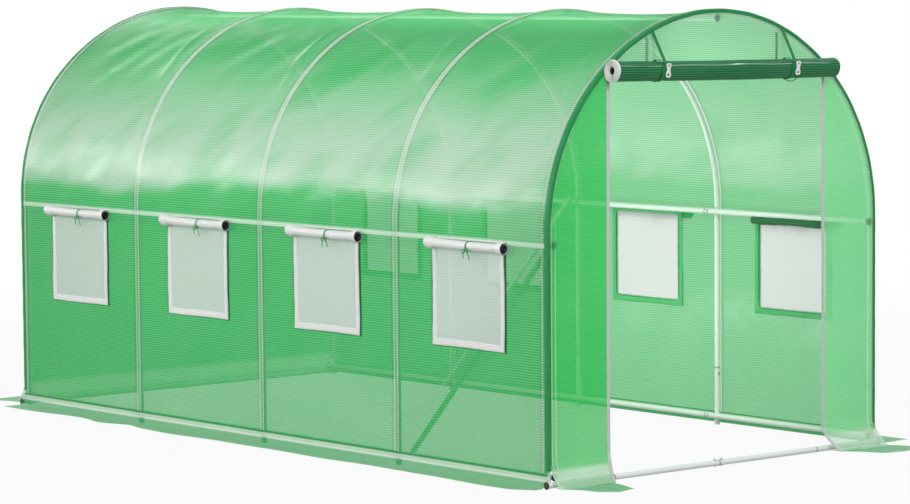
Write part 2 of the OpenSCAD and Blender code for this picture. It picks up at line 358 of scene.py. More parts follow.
def slanted(paint, u, length, along, across, layer=0.0):
    """Noise drawn out along the slanting creases; along and across are its scales, layer picks another pattern."""
    place = {0: (u * 0.8 + length * 0.6) * along, 1: (u * 0.6 - length * 0.8) * across, 2: layer}
    return paint.noise(1.0, 3.0, paint.node("CombineXYZ", place))


def painted_tube_light(u, length):
    """Where the cover lies on the white tubes: painted light of the tubes, put into the cover's colour. It is a pale
    line along each edge of a hoop, and a fainter one over its middle that is stronger on the roof; the hoop lines are
    weaker beside the front hoop's sleeve. A broad pale line lies over the purlins and base rails."""
    hoop = to_hoop(u)
    inside = 1.0 - hoop.between(TUBE_R * 0.9, TUBE_R * 1.2)
    edge = hoop.line(TUBE_R * 1.05, 0.0015, 0.0050)
    purlin, rail = [abs(length - (GROUND_S - z)) for z in (PURLIN_Z, RAIL_Z)]
    rails = (1.0 - purlin.math("MINIMUM", rail).between(TUBE_R * 0.5, TUBE_R * 1.1)) * 0.75
    roof = 1.0 - length.between(GROUND_S - PURLIN_Z - 0.45, GROUND_S - PURLIN_Z)
    sleeved = u.between(HOOP_Y[0] + 0.05, HOOP_Y[0] + 0.10) * 0.75 + 0.25
    return ((inside * (roof * 0.30 + 0.22) + edge * 0.42) * sleeved).larger(rails)


def painted_shoulder_sheen(paint, u, v):
    """A painted sheen along both shoulders, a painted reflection of the bright studio light: cloudy at its lower edge
    and fading towards the crown. It is weaker on the right."""
    length = abs(v)
    rise = GROUND_S - length
    drift = paint.noise(1.0, 4.0, paint.node("CombineXYZ", {0: u * 0.9, 1: v * 1.8, 2: 0.0}))
    streak = slanted(paint, u, length, 1.4, 4.2, 3.0)
    low = (rise + drift * 0.30).between(1.28, 1.38)
    high = 1.0 - (rise + streak * 0.7 - 0.35).between(1.42, 1.95)
    left = 1.0 - v.between(-0.01, 0.01) * 0.62
    return (low * high * (streak.between(0.30, 0.62) * 0.45 + 0.55) * left).clamped()


def film_paint(
    name, film, colour=None, thread=None, cover=None, ratio=1.0, gloss=0.30, warp=0.35, body=0.5, shine=1.0,
    tubes=False, foot=0.0, band=False,
):
    """Woven film: clear film with scrim threads both ways. It glows with light from behind, lets part of it straight
    through between the threads, and shines on both faces, most between the threads and on its slanting creases.
    tubes adds painted light of the frame's tubes under the cover, a painted sheen along the shoulders and painted shade
    beside the hoops and at the crown; foot marks the turned end of a panel, which is painted pale as a painted
    highlight, with stitch dots and a pale line over each hoop leg as painted light; band paints a pale band along a
    skirt's top as painted light of the base rail."""
    paint = Paint(name)
    colour, thread = colour or tuple(film.colour), thread or tuple(film.thread)
    cover = film.cover if cover is None else cover
    u, v = paint.metres()
    length = abs(v)
    scrim = v.thread(film.pitch * ratio, 0.40).larger(u.thread(film.pitch * ratio, 0.30) * warp)
    cloud, grain = paint.noise(3.5, 4.0), paint.noise(220.0, 2.0)
    crease = slanted(paint, u, length, 2.2, 6.5).between(0.36, 0.66)
    base = paint.blend(scrim * 0.8 + grain * 0.2, colour, thread)
    base = paint.blend(cloud.between(0.35, 0.7) * 0.22, base, shade(colour, 1.35))
    alpha = scrim * 0.14 + (cover - 0.055) + cloud * 0.03
    polish = (1.0 - scrim * 0.85) * (crease * 0.60 + 0.25) * shine
    normal = paint.bump(scrim + grain * 0.25, 0.00014, 0.6)
    glow = paint.mix(scrim * 0.8, paint.glow(colour, normal), paint.glow(thread, normal))
    pale = lines = None
    if tubes:
        # painted light of the white tubes under the cover, and a painted sheen along the shoulders
        lines = painted_tube_light(u, length)
        shoulder_sheen = painted_shoulder_sheen(paint, u, v) * film.shoulder_sheen
        crown = 1.0 - length.between(0.45, 0.95)
        polish = polish * (1.0 - crown * 0.90)
        # painted shade: a dark line beside each hoop, stronger towards the crown and missing under the sheen
        beside = to_hoop(u).line(TUBE_R * 1.9, 0.002, 0.009)
        beside = beside * (0.95 - length.between(0.2, 1.5) * 0.60) * (1.0 - shoulder_sheen)
        # painted shade beside the hoops and a little over the crown, both in the colour and in the light let through
        dim = beside.larger(crown * 0.24)
        base = paint.blend(dim, base, shade(colour, PAINTED_SHADE_SHARE))
        glow = paint.mix(dim, glow, paint.glow(shade(colour, PAINTED_SHADE_SHARE)))
        # under the painted shoulder sheen, the light let through is a grey tint
        glow = paint.mix((shoulder_sheen * 1.3).clamped(), glow, paint.glow(SHEEN_GLOW))
        pale = (lines + shoulder_sheen * (1.0 - lines)).clamped()
        alpha = alpha + pale * 0.15
    if foot:
        # the turned foot: a row of pale stitch dots; a pale line over each hoop leg as painted light of the leg behind
        # the film; and the foot painted pale up to foot, a painted highlight where it faces the sky
        dots = u.thread(0.012, 0.5) * length.line(foot * 0.5, 0.0015, 0.0030)
        leg = abs(abs(u) - (HALF_W - TUBE_R * 2.6)).line(TUBE_R * 0.9, 0.0015, 0.0040) * (1.0 - v.between(0.95, 1.25))
        hem = (1.0 - length.between(foot * 0.75, foot)) * 0.6
        pale = lines = (hem + dots * 0.30).larger(leg * 0.5)
    if band:
        # painted light of the base rail: a pale band along the skirt's top
        pale = lines = length.between(0.004, 0.010) * (1.0 - length.between(0.022, 0.032)) * 0.75
    # the painted light, with the foot's stitch dots: a pale tint in the colour and in the light let through
    if pale:
        base = paint.blend(pale, base, PAINTED_LIGHT_AND_STITCH)
        glow = paint.mix(lines, glow, paint.glow(PAINTED_LIGHT_AND_STITCH))
    shiny = {"IOR": 1.5, "Specular IOR Level": 0.20 * shine, "Coat Roughness": 0.14, "Coat IOR": 1.6}
    rough = gloss + scrim * 0.20 + cloud * 0.08
    skin = paint.skin(base, rough, normal, {"Coat Weight": polish.clamped(), **shiny})
    return paint.holes(alpha, paint.mix(body, glow, skin))


def cloth_paint(name, colour, weave=0.0016, glow=0.25, rough=0.75, dirt=0.12):
    """Tightly woven tape or webbing: a plain weave in relief, a little light through it, faint uneven colour."""
    paint = Paint(name)
    u, v = paint.metres()
    over = u.thread(weave, 0.4) * 0.6 + v.thread(weave, 0.4) * 0.6
    base = paint.blend(over * 0.35, shade(colour, 0.80), colour)
    base = paint.blend(paint.noise(9.0, 4.0).between(0.4, 0.75) * dirt, base, shade(colour, 0.6))
    normal = paint.bump(over, 0.0003, 0.7)
    skin = paint.skin(base, rough, normal, {"Specular IOR Level": 0.35})
    return paint.done(paint.mix(glow, skin, paint.glow(colour, normal)) if glow else skin)


def net_paint(name, colour, pitch):
    """Insect net: fine pale threads with open holes; heavier threads, closer in one direction, show as lines."""
    paint = Paint(name)
    u, v = paint.metres()
    mesh = u.thread(0.0016, 0.42).larger(v.thread(0.0016, 0.42))
    grid = v.thread(pitch, 0.42).larger(u.thread(pitch, 0.25) * 0.4)
    base = paint.blend(grid, shade(colour, 0.92), colour)
    base = paint.blend(paint.noise(6.0, 3.0).between(0.4, 0.75) * 0.10, base, shade(colour, 0.75))
    skin = paint.skin(base, 0.7, paint.bump(mesh, 0.0002, 0.5))
    return paint.holes(mesh * 0.14 + grid * 0.10 + 0.74, paint.mix(0.45, skin, paint.glow(colour)))


def coat_paint(name, colour):
    """Powder-coated steel tube: satin white with a faint orange peel and slightly duller, scuffed patches."""
    paint = Paint(name)
    cloud = paint.noise(5.0, 4.0)
    scuff = paint.noise(38.0, 6.0, roughness=0.7).between(0.60, 0.72)
    base = paint.blend(cloud * 0.25, colour, shade(colour, 0.86))
    base = paint.blend(scuff * 0.22, base, shade(colour, 0.62))
    peel = paint.bump(paint.noise(650.0, 2.0), 0.0002, 0.25)
    rough = 0.30 + cloud * 0.12 + scuff * 0.12
    return paint.done(paint.skin(base, rough, peel, {"Coat Weight": 0.2, "Coat Roughness": 0.15}))


def plastic_paint(name, colour, rough=0.42):
    """Moulded plastic: fine spark grain, rounded dull patches."""
    paint = Paint(name)
    cloud = paint.noise(30.0, 3.0)
    base = paint.blend(cloud * 0.35, colour, shade(colour, 0.8))
    grain = paint.bump(paint.noise(900.0, 2.0), 0.0002, 0.35)
    return paint.done(paint.skin(base, cloud * 0.15 + (rough - 0.06), grain))


def steel_paint(name, colour):
    """Zinc-plated steel: cloudy, half-bright metal."""
    paint = Paint(name)
    cloud = paint.noise(120.0, 4.0)
    base = paint.blend(cloud, shade(colour, 0.6), colour)
    return paint.done(paint.skin(base, cloud * 0.25 + 0.25, paint.bump(cloud, 0.0002, 0.3), {"Metallic": 0.9}))


# ---------------------------------------------------------------- shape writing
def smooth(low, high, x):
    """0 below low, 1 above high, and an S-curve between."""
    t = np.clip((x - low) / (high - low), 0, 1)
    return t * t * (3 - 2 * t)


def ruled(breaks, step):
    """Grid lines through every break, evenly spaced between breaks and no further apart than step."""
    runs = [np.linspace(a, b, max(1, math.ceil((b - a) / step - 1e-9)) + 1)[:-1] for a, b in zip(breaks, breaks[1:])]
    return np.append(np.concatenate(runs), breaks[-1])


class Shape:
    """Gathers grids of points into one mesh with a map in metres."""

    def __init__(self):
        self.points, self.quads, self.maps, self.paints, self.count = [], [], [], [], 0

    def grid(self, points, uv=None, wrap=(False, False), keep=None, paint=0, flip=False):
        """Quads over a grid of points (rows, columns, 3). Without a map of its own, a grid is mapped by its mean
        lengths along columns and rows. keep says which quads stay."""
        points = np.asarray(points, float)
        rows, columns = points.shape[:2]
        index = np.arange(rows * columns).reshape(rows, columns)
        full = points
        if wrap[0]:
            index, full = np.vstack([index, index[:1]]), np.concatenate([full, full[:1]])
        if wrap[1]:
            index, full = np.hstack([index, index[:, :1]]), np.concatenate([full, full[:, :1]], 1)
        if uv is None:
            along = np.linalg.norm(np.diff(full, axis=0), axis=2).mean(1)
            across = np.linalg.norm(np.diff(full, axis=1), axis=2).mean(0)
            grid_u, grid_v = np.meshgrid(np.append(0, across.cumsum()), np.append(0, along.cumsum()))
            uv = np.stack([grid_u, grid_v], -1)
        order = [(0, 0), (1, 0), (1, 1), (0, 1)]
        if flip:
            order.reverse()
        r, c = index.shape
        corners = [(slice(i, r - 1 + i), slice(j, c - 1 + j)) for i, j in order]
        quads = np.stack([index[k] for k in corners], -1).reshape(-1, 4)
        maps = np.stack([uv[k] for k in corners], -2).reshape(-1, 4, 2)
        if keep is not None:
            keep = np.asarray(keep).ravel()
            quads, maps = quads[keep], maps[keep]
        self.blocks(points.reshape(-1, 3), quads, maps, paint)
        return self

    def blocks(self, points, quads, maps=None, paint=0):
        """Points and quads as they are."""
        quads = np.asarray(quads)
        if maps is None:
            maps = np.zeros((len(quads), 4, 2))
        self.points.append(points)
        self.quads.append(quads + self.count)
        self.maps.append(maps)
        self.paints.append(np.full(len(quads), paint))
        self.count += len(points)

    def scatter(self, template, quads, places, frames, paint=0):
        """A small template set down at many places; frames holds each place's three axes."""
        template, quads = np.asarray(template, float), np.asarray(quads)
        points = np.asarray(places)[:, None] + np.einsum("ka,nab->nkb", template, np.asarray(frames))
        shift = np.arange(len(points))[:, None, None] * len(template)
        self.blocks(points.reshape(-1, 3), (quads[None] + shift).reshape(-1, 4), None, paint)
        return self

    def build(self, name, materials, slot, sheet=None, weld=False, solid=0.0, sharp=40.0, replaces=()):
        """The finished piece: mesh, map, materials, shading; it rides on the frame's one body."""
        points = np.concatenate(self.points).astype(np.float32)
        quads = np.concatenate(self.quads).astype(np.int32)
        mesh = bpy.data.meshes.new(name)
        mesh.vertices.add(len(points))
        mesh.vertices.foreach_set("co", points.ravel())
        mesh.loops.add(quads.size)
        mesh.loops.foreach_set("vertex_index", quads.ravel())
        mesh.polygons.add(len(quads))
        mesh.polygons.foreach_set("loop_start", np.arange(0, quads.size, 4, dtype=np.int32))
        mesh.polygons.foreach_set("material_index", np.concatenate(self.paints).astype(np.int32))
        layer = mesh.uv_layers.new(name="metres")
        layer.data.foreach_set("uv", np.concatenate(self.maps).astype(np.float32).ravel())
        mesh.update(calc_edges=True)
        if weld:
            work = bmesh.new()
            work.from_mesh(mesh)
            bmesh.ops.remove_doubles(work, verts=work.verts, dist=2e-6)
            bmesh.ops.dissolve_degenerate(work, edges=work.edges, dist=1e-7)
            bmesh.ops.recalc_face_normals(work, faces=work.faces)
            work.to_mesh(mesh)
            work.free()
        mesh.validate()
        mesh.polygons.foreach_set("use_smooth", [True] * len(mesh.polygons))
        mesh.set_sharp_from_angle(angle=math.radians(sharp))
        for material in materials if isinstance(materials, (list, tuple)) else [materials]:
            mesh.materials.append(material)
        piece = bpy.data.objects.new(name, mesh)
        bpy.context.scene.collection.objects.link(piece)
        if solid:
            modifier = piece.modifiers.new("thickness", "SOLIDIFY")
            modifier.thickness, modifier.offset = solid, 0.0
        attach(piece, "root")
        if replaces:
            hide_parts(*replaces)
        return piece


def directions(path):
    """Unit direction of a path at each point, from its neighbours; a repeated end point takes the next one's."""
    way = np.gradient(path, axis=0)
    length = np.linalg.norm(way, axis=1)
    way[0], way[-1] = (way[1] if length[0] < 1e-9 else way[0]), (way[-2] if length[-1] < 1e-9 else way[-1])
    return way / np.linalg.norm(way, axis=1)[:, None]


def carry(path, profile, up):
    """A profile carried along a path: profile point (a, b) stands a to the side of the path and b along its up
    vector, both square to the path. The profile may change along it: (path points, profile points, 2)."""
    path, profile = np.asarray(path, float), np.asarray(profile, float)
    way = directions(path)
    side = np.cross(way, np.broadcast_to(up, way.shape))
    side /= np.linalg.norm(side, axis=1)[:, None]
    top = np.cross(side, way)
    if profile.ndim == 2:
        profile = np.broadcast_to(profile, (len(path), *profile.shape))
    return path[:, None] + profile[..., :1] * side[:, None] + profile[..., 1:] * top[:, None]


def circle(count):
    """Points round a circle of radius 1."""
    angle = np.linspace(0, 2 * math.pi, count, endpoint=False)
    return np.stack([np.cos(angle), np.sin(angle)], -1)


def stack(*parts):
    """Points from their coordinates, each stretched to the same shape."""
    return np.stack(np.broadcast_arrays(*parts), -1)


def rounded(count, power):
    """Points round a square with rounded corners; a higher power makes the corners tighter."""
    ring = circle(count)
    return ring * (np.abs(ring) ** power).sum(1, keepdims=True) ** (-1 / power)


def rod(shape, path, radii, sides, up):
    """A round rod along a path, its radius given at each point, closed to a point at both ends."""
    path = np.asarray(path, float)
    path = np.concatenate([path[:1], path, path[-1:]])
    radii = np.concatenate([[0], np.broadcast_to(radii, len(path) - 2), [0]])
    shape.grid(carry(path, circle(sides)[None] * radii[:, None, None], up), wrap=(False, True))


def ribbon(shape, path, width, thick, up):
    """A flat tape along a path: a closed oblong section, width to the side and thick along up."""
    w, t = width / 2, thick / 2
    section = np.array([(-w, -t), (0, -t), (w, -t), (w, t), (0, t), (-w, t)])
    grid = carry(path, section, up)
    first, last = grid[:1].mean(1, keepdims=True), grid[-1:].mean(1, keepdims=True)
    grid = np.concatenate([np.broadcast_to(first, grid[:1].shape), grid, np.broadcast_to(last, grid[:1].shape)])
    shape.grid(grid, wrap=(False, True))


BOX_POINTS = np.array([(x, y, z) for x in (-0.5, 0.5) for y in (-0.5, 0.5) for z in (-0.5, 0.5)])
BOX_QUADS = np.array([(0, 1, 3, 2), (4, 6, 7, 5), (0, 4, 5, 1), (2, 3, 7, 6), (0, 2, 6, 4), (1, 5, 7, 3)])


def frames_along(path, up):
    """The three axes at each point of a path: along it, to its side, and up."""
    way = directions(path)
    side = np.cross(np.broadcast_to(up, way.shape), way)
    side /= np.linalg.norm(side, axis=1)[:, None]
    return np.stack([way, side, np.cross(way, side)], 1)


def lengths(path):
    """Length along a path at each of its points."""
    return np.append(0, np.linalg.norm(np.diff(path, axis=0), axis=1).cumsum())


def spaced(path, step, rows=None):
    """Points at even steps along a path; or the rows that go with its points, at the same steps."""
    length, rows = lengths(path), path if rows is None else rows
    want = np.arange(step / 2, length[-1], step)
    return np.stack([np.interp(want, length, rows[:, k]) for k in range(3)], -1)


STITCH = 0.011


def stitches(shape, path, up, step=STITCH, size=(0.0062, 0.0020, 0.0010), paint=0):
    """A row of stitches: short flat threads at even steps along a path."""
    places = spaced(np.asarray(path, float), step)
    shape.scatter(BOX_POINTS * np.array(size), BOX_QUADS, places, frames_along(places, up), paint)


def lathe(profile, sides):
    """A profile of (radius, height) points turned about the z axis, as template points and quads."""
    profile = np.asarray(profile, float)
    angle = np.linspace(0, 2 * math.pi, sides, endpoint=False)
    points = stack(profile[:, :1] * np.cos(angle), profile[:, :1] * np.sin(angle), profile[:, 1:])
    index = np.arange(len(profile) * sides).reshape(len(profile), sides)
    index = np.hstack([index, index[:, :1]])
    quads = np.stack([index[:-1, :-1], index[:-1, 1:], index[1:, 1:], index[1:, :-1]], -1)
    return points.reshape(-1, 3), quads.reshape(-1, 4)


def axes_to(direction):
    """Three axes whose last one points along a direction."""
    d = np.array(direction, float)
    d /= np.linalg.norm(d)
    a = np.cross(d, (0.0, 0.0, 1.0) if abs(d[2]) < 0.9 else (1.0, 0.0, 0.0))
    a /= np.linalg.norm(a)
    return np.stack([a, np.cross(d, a), d])


# ---------------------------------------------------------------- the film's own surface
def arch(s, lift=0.0):
    """The hoops' outer line by length s from the crown, right side positive: an eighth turn of the crown arc, an
    eighth turn of the shoulder arc, then a straight leg. lift moves outward along the normal. Returns x, z and the
    normal's x, z."""
    t = np.abs(s)
    angle = np.clip(t / CROWN_R, 0, math.pi / 4) + np.clip((t - CROWN_LEN) / SHOULDER_R, 0, math.pi / 4)
    leg = np.maximum(t - CROWN_LEN - SHOULDER_LEN, 0)
    on_crown = t < CROWN_LEN
    radius = np.where(on_crown, CROWN_R, SHOULDER_R) + lift
    x = np.where(on_crown, 0, SHOULDER_X) + radius * np.sin(angle)
    z = np.where(on_crown, CROWN_Z, SPRING_Z) + radius * np.cos(angle) - leg
    side = np.where(s < 0, -1.0, 1.0)
    return side * x, z, side * np.sin(angle), np.cos(angle)


def arch_x(z, lift=0.0):
    """Half width of the hoops' outer line at a height."""
    z = np.asarray(z, float)
    joint = CROWN_Z + (CROWN_R + lift) * math.cos(math.pi / 4)
    crown = np.sqrt(np.maximum((CROWN_R + lift) ** 2 - (z - CROWN_Z) ** 2, 0))
    shoulder = SHOULDER_X + np.sqrt(np.maximum((SHOULDER_R + lift) ** 2 - np.maximum(z - SPRING_Z, 0) ** 2, 0))
    return np.where(z > joint, crown, shoulder)


WALL_SLACK = 0.005  # how far a side wall is drawn in between hoops
STANDING_FOLD = 0.0036  # height of the standing fold behind each hoop
RIDGE_FOLD = 0.0012  # height of the small folds beside the ridge
LONG_WAVE, SHORT_WAVE, RIDGE_WAVE = 0.27, 0.155, 0.21  # one fold to the next


def slack(s, y):
    """How far the film is drawn in from the hoops' line: nothing at a hoop, a bowl between two hoops that is deepest
    over the ridge, where it lies on the purlin; less slanting folds that rise towards the front hoop of the bay, and
    one standing fold behind each hoop."""
    film = bpy.context.scene.polytunnel.film
    bay = np.clip(np.floor((y - HOOP_Y[0]) / PITCH + 1e-9), 0, 3)
    u = np.clip((y - HOOP_Y[0]) / PITCH - bay, 0, 1)
    bowl = 1 - (2 * u - 1) ** 2
    t = np.abs(s)
    crown = 1 - smooth(0.05, 0.62, t)
    shoulder = smooth(0.30, 0.80, t) * (1 - smooth(1.25, 1.75, t))
    wall = smooth(1.40, 1.80, t) * (1 - smooth(2.20, 2.53, t))
    depth = film.rest * crown * bowl**0.7 + film.bowl * shoulder * bowl + WALL_SLACK * wall * bowl
    up = -t
    phase = bay * 1.9 + np.where(s > 0, 1.1, 0.0)
    slant = np.sin(2 * math.pi * (0.62 * y + 0.80 * up) / LONG_WAVE + phase)
    slant = slant + 0.6 * np.sin(2 * math.pi * (0.75 * y + 0.52 * up) / SHORT_WAVE + 2.3 * phase)
    region = smooth(0.25, 0.65, t) * (1 - smooth(1.30, 1.62, t)) * bowl
    depth = depth + film.fold * region * slant * 0.7
    centre = 0.055 + 0.10 * (1 - smooth(0.5, 1.25, t))
    ridge = np.exp(-(((u - centre) / 0.022) ** 2)) * smooth(0.30, 0.55, t) * (1 - smooth(1.0, 1.30, t))
    depth = depth - STANDING_FOLD * ridge * smooth(0, 0.04, u)
    cross = smooth(0.1, 0.3, t) * (1 - smooth(0.45, 0.7, t)) * bowl
    return depth + RIDGE_FOLD * cross * np.sin(2 * math.pi * (y * 0.9 - up * 0.45) / RIDGE_WAVE + phase)


def on_film(s, y, lift=0.0):
    """Points on the stretched film, lift outward from it."""
    s, y = np.broadcast_arrays(np.asarray(s, float), np.asarray(y, float))
    x, z, nx, nz = arch(s)
    out = FILM_LIFT - slack(s, y) + lift
    return np.stack([x + out * nx, y, z + out * nz], -1)


def wall_s(z):
    """Length from the crown to a height on the leg."""
    return GROUND_S - z


def windows():
    """Side (-1 left, 1 right), bay number and middle y of each window."""
    return [(side, bay + 1, y) for side in (-1, 1) for bay, y in enumerate(BAY_Y)]


def hand_of(side):
    return "left" if side < 0 else "right"


def tag(side, bay):
    return f"{hand_of(side)}_{bay}"


FOOT = 0.125  # height below which an end panel sweeps out over its ground rail


def end_y(x, z, sign):
    """The end film's distance along the tunnel: a flat plane with a faint billow, sweeping out at its foot."""
    billow = 0.0025 * np.sin(3.1 * x + 0.7) * np.sin(2.6 * z + 0.4)
    foot = np.clip((FOOT - z) / FOOT, 0, 1) ** 1.9
    return sign * (FILM_END_Y + billow * (1 - foot) + 0.088 * foot)


def foot_lean(z):
    """How far the edges of the doorway turn aside near the ground."""
    return 0.047 * np.clip((0.11 - z) / 0.11, 0, 1) ** 1.6


class Step:
    """What every operator here shares."""

    bl_options = {"REGISTER", "UNDO"}

    @property
    def settings(self):
        return bpy.context.scene.polytunnel


# ---------------------------------------------------------------- pieces
class POLYTUNNEL_OT_tubes(Step, bpy.types.Operator):
    """Coat the frame's tubes and caps"""

    bl_idname = "polytunnel.tubes"
    bl_label = "Tubes and caps"

    def execute(self, context):
        tubes = self.settings.tubes
        coat = coat_paint("coated_tube", tuple(tubes.coat))
        cap = plastic_paint("cap_plastic", tuple(tubes.cap), 0.38)
        for name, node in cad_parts.items():
            tube = name.endswith(("hoop", "rail", "purlin", "brace")) or name.startswith("hoop_")
            if tube or name == "tube_end_caps":
                node.data.materials.clear()
                node.data.materials.append(coat if tube else cap)
        return {"FINISHED"}


# half sections of a bolt's domed head and of its nut with the bolt's end: (radius, height over the tube)
HEAD = (
    (0, 0.0042), (0.0035, 0.0040), (0.0062, 0.0026), (0.0070, 0.0008), (0.0070, 0), (0.0088, 0), (0.0088, -0.0012),
    (0, -0.0012),
)
NUT = (
    (0, 0.0100), (0.0026, 0.0100), (0.0030, 0.0092), (0.0030, 0.0056), (0.0062, 0.0056), (0.0066, 0.0050),
    (0.0066, 0.0004), (0.0090, 0), (0.0090, -0.0012), (0, -0.0012),
)


class POLYTUNNEL_OT_fittings(Step, bpy.types.Operator):
    """Add the bolts and nuts, and the beads where one tube slides into the next"""

    bl_idname = "polytunnel.fittings"
    bl_label = "Bolts and joints"

    def execute(self, context):
        tubes = self.settings.tubes
        steel = steel_paint("zinc_steel", tuple(tubes.steel))
        joint = coat_paint("joint_ring", shade(tubes.coat, 0.45))
        head, nut = lathe(HEAD, 12), lathe(NUT, 6)
        bolts, rings = Shape(), Shape()
        collar = np.array([(-0.004, 0.0), (-0.003, 0.0009), (0.003, 0.0009), (0.004, 0.0)])
        crown_r = CROWN_R - TUBE_R

        def bolt(point, way):
            """A bolt through a tube: head on one side, nut on the other."""
            point, way = np.array(point, float), np.array(way, float)
            for (template, quads), out in ((head, way), (nut, -way)):
                bolts.scatter(template, quads, [point + out * (TUBE_R - 0.0006)], [axes_to(out)])

        def ring(point, way):
            """A slightly raised bead round a tube."""
            axes, turn = axes_to(way), circle(28)
            around = turn[:, :1] * axes[0] + turn[:, 1:] * axes[1]
            grid = np.array(point) + collar[None, :, :1] * axes[2] + (TUBE_R + collar[None, :, 1:]) * around[:, None]
            rings.grid(grid, wrap=(True, False))

        def on_crown(side, y, turn):
            """A point on the middle line of a crown tube."""
            return side * crown_r * math.sin(turn), y, CROWN_Z + crown_r * math.cos(turn)

        for y in HOOP_Y:
            inward = 1 if y < 0 else -1
            for side in (-1, 1):
                for z in (RAIL_Z, PURLIN_Z):
                    bolt((side * PURLIN_X, y + inward * 0.0288, z), (-side, 0, 0))
                bolt(on_crown(side, y, math.pi / 4), (0, -1, 0))
                bolt((side * (HALF_W - TUBE_R), y, 0.245), (0, -1, 0))
                turn = math.pi / 4 - 0.035
                ring(on_crown(side, y, turn), (math.cos(turn), 0, -side * math.sin(turn)))
                ring((side * (HALF_W - TUBE_R), y, 0.275), (0, 0, 1))
            bolt((0, y + inward * 0.030, RIDGE_Z), (0, 0, -1))
        for sign in (-1, 1):
            for x in (0.472 - 0.5 * HALF_W, 0.012, 0.892, -0.868):
                bolt((x, sign * CROSS_Y, CROSS_Z), (0, 0, -1))
            for side in (-1, 1):
                bolt((side * 0.955, sign * CROSS_Y, CROSS_Z), (0, sign, 0))
            for x in (-0.005, DOOR_X - 0.045, -DOOR_X + 0.02):
                ring((x, sign * CROSS_Y, CROSS_Z), (1, 0, 0))
        for y in HOOP_Y[1:-1]:
            for x, z in ((0, RIDGE_Z), *((side * PURLIN_X, z) for side in (-1, 1) for z in (RAIL_Z, PURLIN_Z))):
                ring((x, y + 0.05, z), (0, 1, 0))
        bolts.build("bolts", steel, "coated_tube", weld=True, sharp=30)
        rings.build("tube_joints", joint, "coated_tube")
        return {"FINISHED"}


FILM_STEP = 0.0155  # grid of the cover film, fine enough for its folds
NET_LAP = 0.025  # how far a net and its hem lap over the film round an opening


class POLYTUNNEL_OT_cover(Step, bpy.types.Operator):
    """Stretch the cover film over the four bays"""

    bl_idname = "polytunnel.cover"
    bl_label = "Cover film"

    def execute(self, context):
        paint = film_paint("cover_film", self.settings.film, tubes=True)
        half = NET_W / 2 - NET_LAP
        low, high, foot = wall_s(FLAP_Z), wall_s(NET_LO.z + NET_LAP), wall_s(SIDE_TURN_Z * 0.55)
        s = ruled([-foot, -high, -low, low, high, foot], FILM_STEP)
        mid_s = (s[1:] + s[:-1]) / 2
        for bay, (front, rear, middle) in enumerate(zip(HOOP_Y, HOOP_Y[1:], BAY_Y), 1):
            ends = [front - (END_GAP if bay == 1 else 0), rear + (END_GAP if bay == 4 else 0)]
            y = ruled([ends[0], middle - half, middle + half, ends[1]], FILM_STEP)
            grid_y, grid_s = np.meshgrid(y, s)
            mid_y = (y[1:] + y[:-1]) / 2
            hole = (np.abs(mid_y - middle) < half)[None] & ((np.abs(mid_s) > low) & (np.abs(mid_s) < high))[:, None]
            wide, long = ends[1] - ends[0], 2 * foot
            sheet = dict(
                flat=(wide, long),
                area=wide * long - 2 * (2 * half) * (high - low),
                held="stretched",
                rests_on=[HOOPS[bay - 1], HOOPS[bay], "ridge_purlin"],
            )
            nodes = (f"roof_{bay}", f"left_wall_{bay}", f"right_wall_{bay}")
            Shape().grid(on_film(grid_s, grid_y), stack(grid_y, grid_s), keep=~hole).build(
                f"cover_bay_{bay}", paint, "cover_film", sheet=sheet, replaces=nodes
            )
        return {"FINISHED"}


IN_HOOP = -0.0012  # an end panel ends just inside the hoop's outer line


